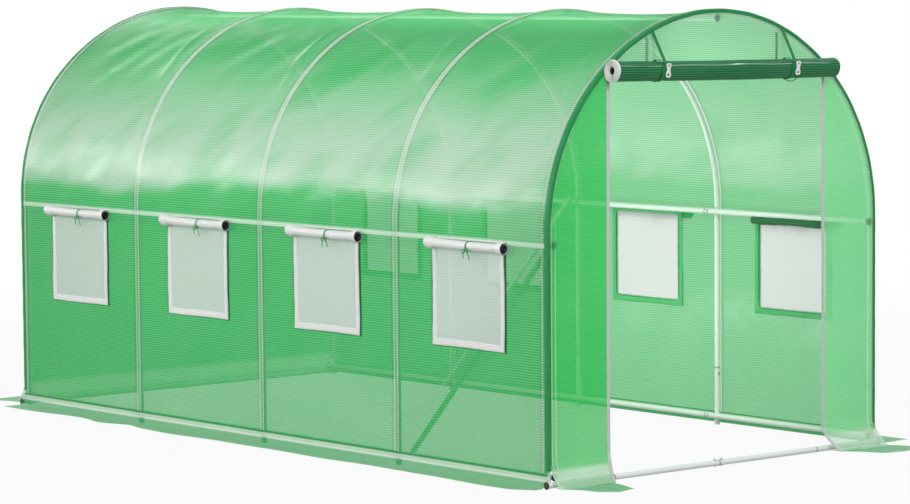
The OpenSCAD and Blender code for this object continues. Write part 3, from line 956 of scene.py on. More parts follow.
class POLYTUNNEL_OT_end_film(Step, bpy.types.Operator):
    """Hang the film at both ends, open at the doorway"""

    bl_idname = "polytunnel.end_film"
    bl_label = "End film"

    def execute(self, context):
        film = self.settings.film
        fine = dict(ratio=0.75, warp=0.8)
        rear = film_paint("end_film", film, foot=FOOT, **fine)
        # the front panels are lighter-toned copies of the end film, as painted light of what shines through them: the
        # left one a brighter green and less clear, the right one and the one over the door paler and clearer
        front_left_tone = ((0.010, 0.44, 0.065), (0.08, 0.74, 0.20), 0.82)
        front_left_tone = film_paint("end_film_front_left_tone", film, *front_left_tone, shine=0.6, foot=FOOT, **fine)
        front_right_tone = film_paint("end_film_front_right_tone", film, (0.17, 0.62, 0.26), (0.34, 0.84, 0.44), 0.70, foot=FOOT, **fine)
        over_door = film_paint("end_film_arch", film, (0.27, 0.62, 0.36), (0.46, 0.80, 0.54), 0.70, **fine)

        def panel(name, paint, points, uv, flat, area, node, sign, flip=False):
            hoop = "front_hoop" if sign < 0 else "rear_hoop"
            sheet = dict(flat=flat, area=float(area), held="stretched", rests_on=[hoop])
            Shape().grid(points, uv, flip=flip).build(name, paint, "cover_film", sheet=sheet, replaces=(node,))

        top = CROWN_Z + math.sqrt((CROWN_R - 0.001) ** 2 - DOOR_X**2)
        z = np.concatenate([np.linspace(0.004, 0.14, 16)[:-1], np.linspace(0.14, top, 100)])
        grid_u, grid_z = np.meshgrid(np.linspace(0, 1, 26), z)
        for side in (-1, 1):
            inner = DOOR_X + foot_lean(grid_z)
            outer = np.maximum(arch_x(grid_z, IN_HOOP) + 0.006 * (1 - smooth(0.0, 0.08, grid_z)), inner)
            x = side * (inner + (outer - inner) * grid_u)
            points = stack(x, end_y(x, grid_z, -1), grid_z)
            along = lengths(points[:, 0])
            area, flat = np.trapz((outer - inner)[:, -1], along), (HALF_W - DOOR_X, 1.84)
            hand, paint = hand_of(side), front_left_tone if side < 0 else front_right_tone
            name, node = "front_panel_" + hand, "front_wall_" + hand
            panel(name, paint, points, stack(np.abs(x), along[:, None]), flat, area, node, -1, side < 0)

        x = np.linspace(-DOOR_X + 0.0006, DOOR_X - 0.0006, 100)
        grid_x, grid_t = np.meshgrid(x, np.linspace(0, 1, 18))
        low = DOOR_TOP - 0.02
        top = CROWN_Z + np.sqrt((CROWN_R + IN_HOOP) ** 2 - grid_x**2)
        z = low + (top - low) * grid_t
        points, area = stack(grid_x, end_y(grid_x, z, -1), z), np.trapz((top - low)[0], x)
        flat = (2 * DOOR_X, TOP_Z - low)
        panel("front_arch_panel", over_door, points, stack(grid_x, z), flat, area, "front_wall_top", -1)

        z = np.concatenate([np.linspace(0.004, 0.14, 14)[:-1], np.linspace(0.14, TOP_Z - 0.0016, 110)])
        grid_u, grid_z = np.meshgrid(np.linspace(-1, 1, 110), z)
        half = arch_x(grid_z, IN_HOOP)
        x = half * grid_u
        points, area = stack(x, end_y(x, grid_z, 1), grid_z), np.trapz(2 * half[:, 0], z) + 0.1
        panel("rear_panel", rear, points, stack(x, grid_z), (2 * HALF_W, TOP_Z + 0.05), area, "rear_wall", 1, True)
        return {"FINISHED"}


# a sleeve's section round an end hoop: (out from the hoop's outer line, along the tunnel from its middle)
SLEEVE = (
    (0.0034, 0.0030), (0.0038, 0.0050), (0.0040, 0.0090), (0.0040, 0.0140), (0.0036, 0.0205), (0.0010, 0.0240),
    (-0.0030, 0.0246), (-0.0070, 0.0246), (-0.0110, 0.0244), (-0.0135, 0.0236), (-0.0130, 0.0222), (-0.0100, 0.0226),
    (-0.0050, 0.0226), (-0.0004, 0.0218), (0.0022, 0.0190), (0.0026, 0.0140), (0.0026, 0.0090), (0.0026, 0.0050),
    (0.0026, 0.0030),
)


class POLYTUNNEL_OT_bindings(Step, bpy.types.Operator):
    """Sleeve the end hoops in folded film with its sewn seams"""

    bl_idname = "polytunnel.bindings"
    bl_label = "Bindings and seams"

    def execute(self, context):
        film = self.settings.film
        colour = tuple(film.binding)
        dark = dict(cover=0.99, ratio=0.5, gloss=0.42, body=0.8, shine=0.4)
        dark = film_paint("binding_tape", film, colour, shade(colour, 2.3), **dark)
        light = film_paint("binding_rear", film, (0.03, 0.36, 0.10), cover=0.80, ratio=0.7, shine=0.5)
        thread = cloth_paint("seam_thread", (0.72, 0.80, 0.73), glow=0.1)
        foot = wall_s(0.075)
        s = np.linspace(-foot, foot, 260)
        x, z, nx, nz = arch(s)
        normal = stack(nx, 0, nz)
        seams = Shape()
        for sign, name, paint in ((-1, "front_binding", dark), (1, "rear_binding", light)):

            def on_hoop(out, along):
                return stack(x + out * nx, sign * (END_Y + along), z + out * nz)

            out, along = np.array(SLEEVE).T[..., None]
            points = on_hoop(out + 0.0005 * np.sin(s * 41), along).transpose(1, 0, 2)
            nodes = ("end_bindings",) if sign < 0 else ()
            sleeve = Shape().grid(points, wrap=(False, True), flip=sign < 0)
            sleeve.build(name, paint, "binding_tape", weld=True, replaces=nodes)
            for along in (-0.0160, -0.0095):
                path = on_hoop(0.0032, along)
                places, near = spaced(path, STITCH), spaced(path, STITCH, normal)
                way = directions(places)
                axes = np.stack([way, np.cross(near, way), near], 1)
                seams.scatter(BOX_POINTS * np.array((0.0062, 0.0022, 0.0010)), BOX_QUADS, places, axes)
            stitches(seams, on_hoop(-0.0175, 0.0232), (0.0, float(sign), 0.0))
        seams.build("binding_stitches", thread, "binding_tape")
        return {"FINISHED"}


BEND = 0.30  # share of a side skirt's grid that bends from the wall on to the ground
BEND_OUT = 0.040  # how far the bend reaches out
TURN_IN = 0.075  # length of skirt film above the ground or under the end panel


class POLYTUNNEL_OT_skirts(Step, bpy.types.Operator):
    """Lay the skirts on the ground round the tunnel"""

    bl_idname = "polytunnel.skirts"
    bl_label = "Ground skirts"

    def execute(self, context):
        film, skirts = self.settings.film, self.settings.skirts
        looks = dict(cover=0.80, warp=0.6, shine=0.35, band=True)
        paint = film_paint("skirt_film", film, shade(film.colour, 0.75), shade(film.thread, 0.8), **looks)

        def lay(name, points, uv, flat, area, hand, node, flip):
            sheet = dict(flat=flat, area=area, held="laid", rests_on=[hand + "_base_rail"])
            Shape().grid(points, uv, flip=flip).build(name, paint, "skirt_film", sheet=sheet, replaces=(node,))

        y = np.linspace(-FILM_END_Y + 0.004, FILM_END_Y - 0.004, 250)
        t, grid_y = np.meshgrid(np.linspace(0, 1, 20), y)
        fall, flat = np.clip(t / BEND, 0, 1), np.clip((t - BEND) / (1 - BEND), 0, 1)
        bump = 0.030 * np.exp(-(((grid_y - 1.12) / 0.10) ** 2)) - 0.024 * np.exp(-(((grid_y - 0.93) / 0.07) ** 2))
        wave = bump + 0.008 * np.sin(grid_y * 3.7 + 0.6) + 0.004 * np.sin(grid_y * 11 + 1.9)
        for side, wide in ((-1, skirts.near), (1, SIDE_SKIRT_X - HALF_W - 0.004)):
            edge = wide + (wave if side < 0 else 0.5 * np.minimum(wave, 0))
            edge = edge + 0.5 * np.clip(grid_y + FILM_END_Y - 0.10, -0.2, 0) * (side < 0)
            run = np.maximum(edge - BEND_OUT, 0.01)
            ripple = skirts.ripple * (0.5 + 0.5 * np.sin(grid_y * 8.3 + 4 * flat + side)) * np.sin(math.pi * flat) ** 2
            lift = 0.005 * flat**3 * (0.5 + 0.5 * np.sin(grid_y * 5.1 + 1.3))
            z = 0.0016 + SIDE_TURN_Z * (1 - fall) ** 1.7
            inner = FILM_LIFT + 0.0012 - slack(wall_s(SIDE_TURN_Z), grid_y) * (1 - fall)
            points = stack(side * (HALF_W + inner + BEND_OUT * fall**1.7 + run * flat), grid_y, z + ripple + lift)
            uv = stack(grid_y, np.where(t < BEND, t * TURN_IN / BEND, TURN_IN + flat * run))
            length, hand = TURN_IN + run, hand_of(side)
            size = (float(y[-1] - y[0]), float(length.max()))
            area = float(length[:, 0].mean() * (y[-1] - y[0]))
            lay("skirt_" + hand, points, uv, size, area, hand, hand + "_skirt", side > 0)

        start, reach = FILM_END_Y + 0.030, END_SKIRT_Y - 0.003
        for sign, side, name in ((-1, -1, "skirt_front_left"), (-1, 1, "skirt_front_right"), (1, 0, "skirt_rear")):
            u, t = np.meshgrid(np.linspace(0, 1, 60 if side else 160), np.linspace(0, 1, 22))
            if side:
                inner = DOOR_X + 0.030 + (0.07 if side < 0 else 0.13) * t
                outer = HALF_W - 0.004 + (-0.085 if side < 0 else 0.075) * t
                x = side * (inner + (outer - inner) * u)
            else:
                x = (2 * u - 1) * (HALF_W - 0.02 + 0.06 * smooth(0.0, 0.8, t))
            swing = 0.008 * np.sin(u * 6 + 1.2) - 0.020 * smooth(0.6, 1.0, 1 - u) * (side != 0)
            far = reach - 0.018 - swing * 0.6 - (0.03 if side > 0 else 0.0) * u
            y_out = start + (far - start) * t
            low = 0.0055 - 0.004 * smooth(0, 0.3, t)
            wave = 0.5 + 0.5 * np.sin(u * 6.5 + 1.5 * t)
            ripple = skirts.ripple * np.sin(math.pi * np.clip(t * 1.15, 0, 1)) * wave
            curl = 0.007 * t**4 * (0.5 + 0.5 * np.cos(u * 5.3 + 0.5))
            points, uv = stack(x, sign * y_out, low + ripple + curl), stack(x, y_out - start + TURN_IN)
            size = (float(np.ptp(x)), float(reach - start))
            area = min(float(np.trapz(np.abs(x[:, -1] - x[:, 0]), y_out[:, 0])), size[0] * size[1])
            hand, node = ("front", "front_skirts") if sign < 0 else ("rear", "rear_skirt")
            lay(name, points, uv, size, area, hand, node, sign * (side or 1) > 0)
        return {"FINISHED"}


HEM_SHADOW_R = 0.0042  # radius of the dark rod along the front edge of a window's hem, a painted shadow of the raised hem
CORNER_POWER = 22.0  # how square the corners of the opening are


class POLYTUNNEL_OT_windows(Step, bpy.types.Operator):
    """Sew the net windows and their hems over the openings"""

    bl_idname = "polytunnel.windows"
    bl_label = "Net windows"

    def execute(self, context):
        film, look = self.settings.film, self.settings.windows
        net = net_paint("window_net", tuple(look.net), film.pitch)
        hem = cloth_paint("net_hem", tuple(look.hem), weave=0.0030, glow=0.15, rough=0.6, dirt=0.06)
        edging = dict(cover=0.80, ratio=0.5, body=0.7, shine=0.4)
        edging = film_paint("window_edging", film, (0.10, 0.62, 0.22), (0.24, 0.76, 0.36), **edging)
        thread = cloth_paint("hem_thread", (0.60, 0.64, 0.60), glow=0.0)
        low, high = NET_LO.z, NET_HI.z - 0.004
        top = FLAP_Z + 0.014
        sewing, shadow_rods = Shape(), Shape()
        for side, bay, middle in windows():
            seed = bay + (0 if side < 0 else 4)

            def at(a, b, lift):
                """A point of the window by its share across (-1 to 1) and up (0 to 1), edges a little wavy."""
                sway = 0.0018 * np.sin(6.0 * b + seed * 1.7) + 0.0008 * np.sin(15 * b + seed)
                dip = 0.0012 * np.sin(3.0 * a + seed)
                y = middle + a * (NET_W / 2 - 0.003) + sway * np.abs(a) ** 3 + 0.002 * a * (1 - b)
                z = low + dip * (1 - b) + (high - low) * b
                return on_film(side * wall_s(z), y, lift)

            a, b = np.meshgrid(np.linspace(-0.97, 0.97, 44), np.linspace(0.02, 1, 40))
            belly = 0.0035 * np.cos(a * math.pi / 2) * np.sin(math.pi * b)
            points = at(a, b, 0.0016 + belly)
            sheet = dict(flat=(NET_W, high - low), held="stretched", rests_on=[f"cover_bay_{bay}"])
            shape, nodes = Shape().grid(points, points[..., 1:], flip=side < 0), (hand_of(side) + "_window_nets",)
            shape.build("window_net_" + tag(side, bay), net, "window_net", sheet=sheet, replaces=nodes)
            # the tape hem: down one side, across the foot and up the other, from its outer to its inner edge
            w, h = look.hem_width / (NET_W / 2), look.hem_width / (high - low)
            across, up = np.linspace(-1, 1, 40), np.linspace(0, 1, 40)
            line = np.concatenate([stack(-1.0, up[::-1])[:-1], stack(across, 0.0)[:-1], stack(1.0, up)])
            inner = stack(line[:, 0] * (1 - w), h + line[:, 1] * (1 - h))
            share_in = np.array([0, 0.04, 0.35, 0.65, 0.96, 1])
            rise = np.array([0.0014, 0.0026, 0.0032, 0.0032, 0.0028, 0.0018])
            ab = line[:, None] * (1 - share_in[None, :, None]) + inner[:, None] * share_in[None, :, None]
            pucker = 0.0004 * np.sin(np.arange(len(line)) * 0.9 + seed)[:, None]
            Shape().grid(at(ab[..., 0], ab[..., 1], rise[None] + pucker), flip=side > 0).build(
                "window_hem_" + tag(side, bay), hem, "window_net", solid=0.0009
            )
            for share_at in (0.14, 0.84):
                ab = line * (1 - share_at) + inner * share_at
                path = at(ab[:, 0], ab[:, 1], 0.0040)
                stitches(sewing, path, (float(side), 0.0, 0.0), 0.0085, (0.0050, 0.0012, 0.0007))
            # painted shadow: a dark rod along the front edge of the hem, where the raised hem shades the wall
            edge = at(np.full(60, -1.0), np.linspace(1, 0, 60), 0.0014) + np.array([0, -HEM_SHADOW_R, 0])
            rod(shadow_rods, edge, HEM_SHADOW_R, 8, up=(0.0, 1.0, 0.0))
            # the green edging seen from inside, round the opening
            soft = rounded(96, CORNER_POWER)
            ring = circle(96)
            square = ring / np.abs(ring).max(1, keepdims=True)
            half = np.array((NET_W / 2 + 0.008, (top - low) / 2 + 0.004))
            rows = []
            for outline, inset, lift in (
                (square, 0, -0.0010),
                (square, 0.002, -0.0024),
                (soft, look.opening - 0.002, -0.0024),
                (soft, look.opening, -0.0012),
            ):
                y, z = ((middle, (top + low) / 2) + outline * (half - inset)).T
                rows.append(on_film(side * wall_s(z), y, lift))
            Shape().grid(np.stack(rows), wrap=(False, True), flip=side < 0).build(
                "window_edging_" + tag(side, bay), edging, "cover_film", solid=0.0006
            )
        sewing.build("hem_stitches", thread, "window_net")
        # the dark rods along the hems are painted shadow
        dark = cloth_paint("hem_shadow_rod", (0.020, 0.120, 0.045), weave=0.0020, glow=0.0)
        shadow_rods.build("hem_shadow_rods", dark, "window_net", weld=True)
        # painted shade: a dark rolled bar inside the front window on the right, standing for the shade the flap roll
        # puts on the film there
        inner = Shape()
        y = BAY_Y[0] + np.linspace(-NET_W / 2, NET_W / 2 - 0.01, 40)
        path = stack(HALF_W - 0.026 - slack(wall_s(FLAP_Z), y), y, FLAP_Z - 0.004 + 0.002 * np.sin(y * 20))
        rod(inner, path, 0.0200 + 0.0008 * np.sin(y * 90), 20, up=(1.0, 0.0, 0.0))
        rolled = ((0.012, 0.10, 0.035), (0.05, 0.22, 0.09), 1.0, 0.5)
        rolled = film_paint("roll_shade_bar", film, *rolled, body=0.9, shine=0.4)
        inner.build("window_roll_shade_bar", rolled, "rolled_film", weld=True)
        return {"FINISHED"}


def spiral_roll(radius, core, turns, per_turn, start, hand=1):
    """A sheet's section when rolled: a spiral whose radius grows evenly from core to radius over the turns, ending
    at angle start. Returns the (a, b) points and each point's share of the way out."""
    share_out = np.linspace(0, 1, int(turns * per_turn) + 1)
    angle = start - hand * (1 - share_out) * turns * 2 * math.pi
    r = core + (radius - core) * share_out
    wobble = 1 + 0.012 * np.sin(3 * angle + 0.5) + 0.008 * np.sin(5 * angle)
    return stack(r * wobble * np.cos(angle), r * wobble * np.sin(angle)), share_out


FLAP_CORE, FLAP_TURNS = 0.0042, 4.6  # radius at the middle of a flap's roll, and its turns
COLLAR = 0.30  # how much thicker a flap's roll is at its two ends
FLAP_LENGTH = 0.43  # film rolled up in a flap
TIE_WIDE, TIE_THICK = 0.0055, 0.0007  # tape of the loops and tails


class POLYTUNNEL_OT_flaps(Step, bpy.types.Operator):
    """Roll the window flaps up and tie them"""

    bl_idname = "polytunnel.flaps"
    bl_label = "Rolled flaps"

    def execute(self, context):
        look = self.settings.windows
        white = cloth_paint("flap_fabric", tuple(look.flap), weave=0.0022, glow=0.12, rough=0.42, dirt=0.05)
        # a dark grey copy of the flap fabric for the inner turns of each roll: painted shade inside the roll
        inside = cloth_paint("flap_core_shade", (0.085, 0.110, 0.095), weave=0.0022, glow=0.0)
        tape = cloth_paint("tie_tape", tuple(look.tie), weave=0.0014, glow=0.1)
        half, body_r = FLAP_W / 2 - 0.020, FLAP_R * 0.80
        end = [np.linspace(0.0, 0.004, 3), np.linspace(0.03, 0.044, 6)]
        y = [*(part - half for part in end), np.linspace(0.07 - half, half - 0.07, 26)]
        y = np.concatenate([*y, *(half - part[::-1] for part in reversed(end))])
        collar = 1 + COLLAR * smooth(half - 0.041, half - 0.036, np.abs(y))
        collar = collar - 0.03 * smooth(half - 0.003, half, np.abs(y))
        nip = 1 - 0.05 * np.exp(-(((y + 0.05 * FLAP_W) / 0.010) ** 2))
        droop = -0.0030 * (1 - (y[:, None] / half) ** 2) + 0.002 * (y[:, None] / half)
        for side, bay, middle in windows():
            seed = bay + (0 if side < 0 else 4)
            rng = np.random.default_rng(40 + seed)
            middle = middle - 0.016
            section, out = spiral_roll(body_r, FLAP_CORE, FLAP_TURNS, 24, math.radians(100 + rng.uniform(-8, 8)))
            scale = collar * nip * (1 + 0.010 * np.sin(y * 23 + seed) + 0.006 * np.sin(y * 61 + 2 * seed))
            grow = 1 + (scale[:, None] - 1) * smooth(0.3, 0.8, out)
            a, b = section[:, 0] * grow, section[:, 1] * grow
            line_y = y[:, None] * (1 - 0.0025 * (1 - smooth(0.60, 0.75, out)) / half)
            gap = FLAP_X - slack(wall_s(FLAP_Z), middle + line_y)
            points = stack(side * (HALF_W + gap + a), middle + line_y, FLAP_Z + droop + b)
            uv = stack(line_y, out[None] * 0.45)
            # the inner turns take the dark copy, as painted shade
            inner = (out[1:] < 0.78)[None] & np.ones(len(y) - 1, bool)[:, None]
            shape = Shape().grid(points, uv, keep=~inner, flip=side < 0)
            shape.grid(points, uv, keep=inner, paint=1, flip=side < 0)
            name = tag(side, bay)
            sheet = dict(flat=(2 * half, FLAP_LENGTH), held="folded", rests_on=["flap_tie_" + name])
            nodes = (hand_of(side) + "_rolled_flaps",)
            shape.build("flap_" + name, [white, inside], "flap_fabric", sheet=sheet, replaces=nodes)
            # the short neck of film between the wall and the roll
            t, neck_y = np.meshgrid(np.linspace(0, 1, 7), middle + np.linspace(0.02 - half, half - 0.02, 30))
            x = 0.0030 + (gap.mean() - 0.25 * body_r - 0.0030) * t**1.3
            z = FLAP_Z + body_r * (1.22 - 0.23 * np.sin(t * math.pi / 2))
            neck = stack(side * (HALF_W - slack(wall_s(FLAP_Z), neck_y) + x), neck_y, z)
            Shape().grid(neck, flip=side > 0).build("flap_neck_" + name, white, "flap_fabric", solid=0.0008)
            # tie: a band round the roll, a knot with two loops and two tails
            tie = Shape()
            tie_y = middle - 0.05 * FLAP_W + rng.uniform(-0.012, 0.012)
            tie_x = HALF_W + float(FLAP_X - slack(np.array(wall_s(FLAP_Z)), np.array(tie_y)))
            centre = np.array([side * tie_x, tie_y, FLAP_Z - 0.003])
            r = body_r * 0.975 + 0.0008
            turn = circle(48)[:, None]
            section = np.array([(-0.0035, 0), (0.0035, 0), (0.0035, 0.0009), (-0.0035, 0.0009)])
            reach = r + section[:, 1]
            band = stack(side * turn[..., 0] * reach, section[:, 0], turn[..., 1] * reach)
            tie.grid(centre + band, wrap=(True, True))
            knot = centre + np.array([side * (r * 0.80), 0, -r * 0.70])
            t = np.linspace(0, 1, 9)
            lump = np.sin(t * math.pi)
            path = knot + stack(0, (t - 0.5) * 0.011, 0.0015 * lump)
            rod(tie, path, 0.0022 + 0.0024 * lump, 8, up=(1.0, 0.0, 0.0))
            t = np.linspace(0, 1, 22)
            arc = np.sin(math.pi * t)
            for hand in (-1, 1):
                tilt = rng.uniform(0.35, 0.75)
                rise = -0.013 * tilt * arc + 0.0075 * np.sin(2 * math.pi * t)
                loop = knot + stack(side * 0.006 * arc, hand * 0.021 * arc**0.8 * (1 - 0.3 * t), rise)
                ribbon(tie, loop, TIE_WIDE, TIE_THICK, (float(side), 0.0, 0.15))
                fall = rng.uniform(0.030, 0.044)
                x, drift = side * (0.004 * np.sin(2.2 * t) - 0.006 * t * t), 0.004 + 0.016 * t + 0.004 * np.sin(3 * t)
                ribbon(tie, knot + stack(x, hand * drift, -fall * t), TIE_WIDE, TIE_THICK, (float(side), 0.0, 0.1))
            tie.build("flap_tie_" + name, tape, "tie_tape", weld=True, replaces=("flap_ties",))
        return {"FINISHED"}


ROLL_CORE, TAPE_CORE = 0.0125, 0.017  # radius at the middle of the rolled film, and of its zip tape


class POLYTUNNEL_OT_door(Step, bpy.types.Operator):
    """Roll the door up under the arch"""

    bl_idname = "polytunnel.door"
    bl_label = "Rolled door"

    def execute(self, context):
        film, look = self.settings.film, self.settings.door
        colour = tuple(look.roll)
        dark = dict(cover=1.0, ratio=0.62, body=0.97, shine=0.5)
        dark = film_paint("rolled_film", film, colour, shade(colour, 4.2), **dark)
        white = cloth_paint("door_zip_tape", (0.90, 0.91, 0.90), weave=0.0014, glow=0.0)
        left, right = ROLL_LO.x + 0.022, ROLL_HI.x - 0.024
        section, out = spiral_roll(ROLL_FILM_R, ROLL_CORE, look.turns, 34, math.radians(148), hand=-1)
        body = np.linspace(left + 0.02, right - 0.02, 70)
        x = np.concatenate([np.linspace(left, body[0], 4)[:-1], body, np.linspace(body[-1], right, 4)[1:]])
        sag = -0.0030 * (1 - ((x - (left + right) / 2) / (right - left) * 2) ** 2) + ROLL_TILT * x
        swell = 1 + 0.010 * np.sin(x * 7.3 + 1) + 0.005 * np.sin(x * 19)
        pinch = 1 - 0.035 * sum(np.exp(-(((x - strap) / 0.022) ** 2)) for strap in (-STRAP_X, STRAP_X))
        scale = 1 + (swell * pinch - 1)[:, None] * smooth(0.4, 0.9, out)
        a, b = section[:, 0] * scale, section[:, 1] * scale
        length = float(lengths(section)[-1])
        sheet = dict(flat=(right - left, length), held="folded", rests_on=["door_strap_left", "door_strap_right"])
        points = stack(x[:, None], ROLL_Y + a, ROLL_Z + b + sag[:, None])
        Shape().grid(points, stack(x[:, None], out * length)).build(
            "door_roll", dark, "rolled_film", sheet=sheet, replaces=("rolled_door",)
        )
        # zip tape wound with the roll, seen as a white disc at the left end and a thin line at the right one
        ends = Shape()
        bead = np.array([(0.0, -0.5), (1.0, -0.5), (1.15, 0.0), (1.0, 0.5), (0.0, 0.5)])
        for x_end, sign, wide, thick, grow, turns in (
            (left - 0.001, -1, 0.011, 0.0036, 1.06, 5),
            (right - 0.001, 1, 0.004, 0.0016, 1.0, 4),
        ):
            spiral, wind = spiral_roll(ROLL_FILM_R * grow, TAPE_CORE, turns, 40, math.radians(75), hand=-1)
            step = np.diff(spiral, axis=0, append=spiral[-1:] * 2 - spiral[-2:-1])
            across = stack(step[:, 1], -step[:, 0])
            across /= np.linalg.norm(across, axis=1)[:, None]
            a, b = (spiral[:, None] + across[:, None] * bead[None, :, 1:] * thick).transpose(2, 0, 1)
            x = x_end + sign * wide * (bead[None, :, 0] - 0.5) + 0.0009 * np.sin(wind * 40)[:, None]
            ends.grid(stack(x, ROLL_Y + a, ROLL_Z + ROLL_TILT * x_end + b), wrap=(False, True))
        # the film's last edge along the front of the roll, drawn as a thin rod of the pale zip tape that swells at one
        # place: a painted highlight streak on that edge
        x = np.linspace(left + 0.012, right - 0.006, 90)
        pucker = np.exp(-(((x - 0.03) / 0.035) ** 2))
        turn, reach = math.radians(149), ROLL_FILM_R * 1.005 + 0.0006 + 0.0016 * pucker
        z = ROLL_Z + ROLL_TILT * x - 0.003 + reach * math.sin(turn) + 0.0015 * np.sin(x * 17)
        rod(ends, stack(x, ROLL_Y + reach * math.cos(turn), z), 0.0009 + 0.0022 * pucker, 8, up=(0.0, -0.6, 0.8))
        ends.build("door_roll_tape_and_highlight", white, "zip_tape")
        # the free edge of the door film, from the roll up to its seam at the arch
        t, x = np.meshgrid(np.linspace(0, 1, 12), np.linspace(-DOOR_X + 0.004, DOOR_X - 0.004, 60))
        y = ROLL_Y + ROLL_FILM_R * 0.62
        y = y - (FILM_END_Y + 0.0008 + y) * t
        z = ROLL_Z + ROLL_FILM_R * (0.70 - 0.15 * t) + ROLL_TILT * x
        plain = film_paint("door_neck_film", film, shade(film.binding, 1.6), shade(film.binding, 3.0), cover=0.95)
        Shape().grid(stack(x, y, z)).build("door_neck", plain, "rolled_film", solid=0.0008)
        return {"FINISHED"}


BUCKLE_DEEP = 0.0075


class POLYTUNNEL_OT_straps(Step, bpy.types.Operator):
    """Hold the rolled door with two buckled straps"""

    bl_idname = "polytunnel.straps"
    bl_label = "Straps and buckles"

    def execute(self, context):
        look = self.settings.door
        webbing = cloth_paint("strap_webbing", tuple(look.webbing), weave=0.0022, glow=0.0, rough=0.6)
        plastic = plastic_paint("buckle_plastic", tuple(look.buckle), 0.32)
        rim = ROLL_FILM_R + 0.0022
        for side in (-1, 1):
            x0 = side * STRAP_X
            middle_z = ROLL_Z + ROLL_TILT * x0 - 0.0015
            top_z = CROWN_Z + math.sqrt((CROWN_R - 0.010) ** 2 - x0**2)
            strap, buckle = Shape(), Shape()
            # outer strap: straight from the arch to the roll's shoulder, then down its front to the buckle
            turn = np.linspace(math.radians(128), math.radians(192), 14)
            touch = stack(x0, ROLL_Y + rim * np.cos(turn), middle_z + rim * np.sin(turn))
            start = np.array([x0, -(FILM_END_Y + 0.0030), top_z])
            path = np.concatenate([start + (touch[0] - start) * np.linspace(0, 1, 14)[:-1, None], touch])
            ribbon(strap, path, look.strap_width, 0.0015, (0.0, -0.8, 0.6))
            # the loop round the roll, beside the buckle
            turn = np.linspace(math.radians(150), math.radians(470), 50)
            around = stack(0, np.cos(turn), np.sin(turn))
            loop = np.array([x0 - 0.020, ROLL_Y, middle_z]) + (rim - 0.0008) * around
            loop[:, 0] += 0.004 * np.sin(turn)
            ribbon(strap, loop, look.strap_width, 0.0014, around)
            # inner strap: hangs behind the film
            t = np.linspace(0, 1, 16)
            z = top_z - 0.014 - (top_z - 0.014 - ROLL_Z) * t
            inner = stack(x0 - 0.030 + 0.002 * np.sin(t * 4), -(FILM_END_Y - 0.0042), z)
            ribbon(strap, inner, look.strap_width * 0.8, 0.0012, (0.0, -1.0, 0.0))
            if side > 0:
                # the free tail hangs in a slack bight under the roll
                t = np.linspace(0, 1, 26)
                y = ROLL_Y - rim * 0.55 * np.cos(t * math.pi * 0.5) - 0.012 * (1 - t)
                tail = stack(x0 + 0.004 - 0.048 * t, y, middle_z - rim * 0.88 - 0.014 * np.sin(t * math.pi))
                ribbon(strap, tail, 0.0045, 0.0012, (0.0, -1.0, 0.2))
            strap.build("door_strap_" + hand_of(side), webbing, "strap_webbing", weld=True, replaces=("door_straps",))
            # buckle: two oval rings joined by a waisted body, lying on the roll's front
            face = np.array([x0, ROLL_Y - rim - 0.0040, middle_z + 0.002])
            axes = np.array([(1.0, 0, 0.02), (0, -1.0, 0), (0.02, -0.10, 1.0)])
            for centre_z, half, bar in ((0.0205, (0.0092, 0.0072), 0.0036), (-0.0185, (0.0098, 0.0092), 0.0040)):
                oval = rounded(32, 3.2) * half
                round_bar = circle(10)
                bevel = BUCKLE_DEEP / 2 * np.sign(round_bar[:, 1]) * np.abs(round_bar[:, 1]) ** 0.5
                outward = oval / np.linalg.norm(oval, axis=1)[:, None]
                flat = oval[:, None] + outward[:, None] * bar * round_bar[None, :, :1]
                buckle.grid(face + stack(flat[..., 0], bevel, flat[..., 1] + centre_z) @ axes, wrap=(True, True))
            z = np.linspace(-0.0100, 0.0150, 14)
            half = np.minimum(0.0088 + 0.0030 * np.abs((z - 0.004) / 0.012) ** 1.5, 0.0125)
            z, half = np.pad(z, 1, "edge")[:, None], np.pad(half, 1)[:, None]
            oblong = rounded(16, 4.0)
            body = stack(half * oblong[:, 0], (half > 0) * BUCKLE_DEEP * 0.56 * oblong[:, 1], z)
            buckle.grid(face + body @ axes, wrap=(False, True))
            name = "door_buckle_" + hand_of(side)
            buckle.build(name, plastic, "buckle_plastic", weld=True, sharp=60, replaces=("strap_buckles",))
        return {"FINISHED"}


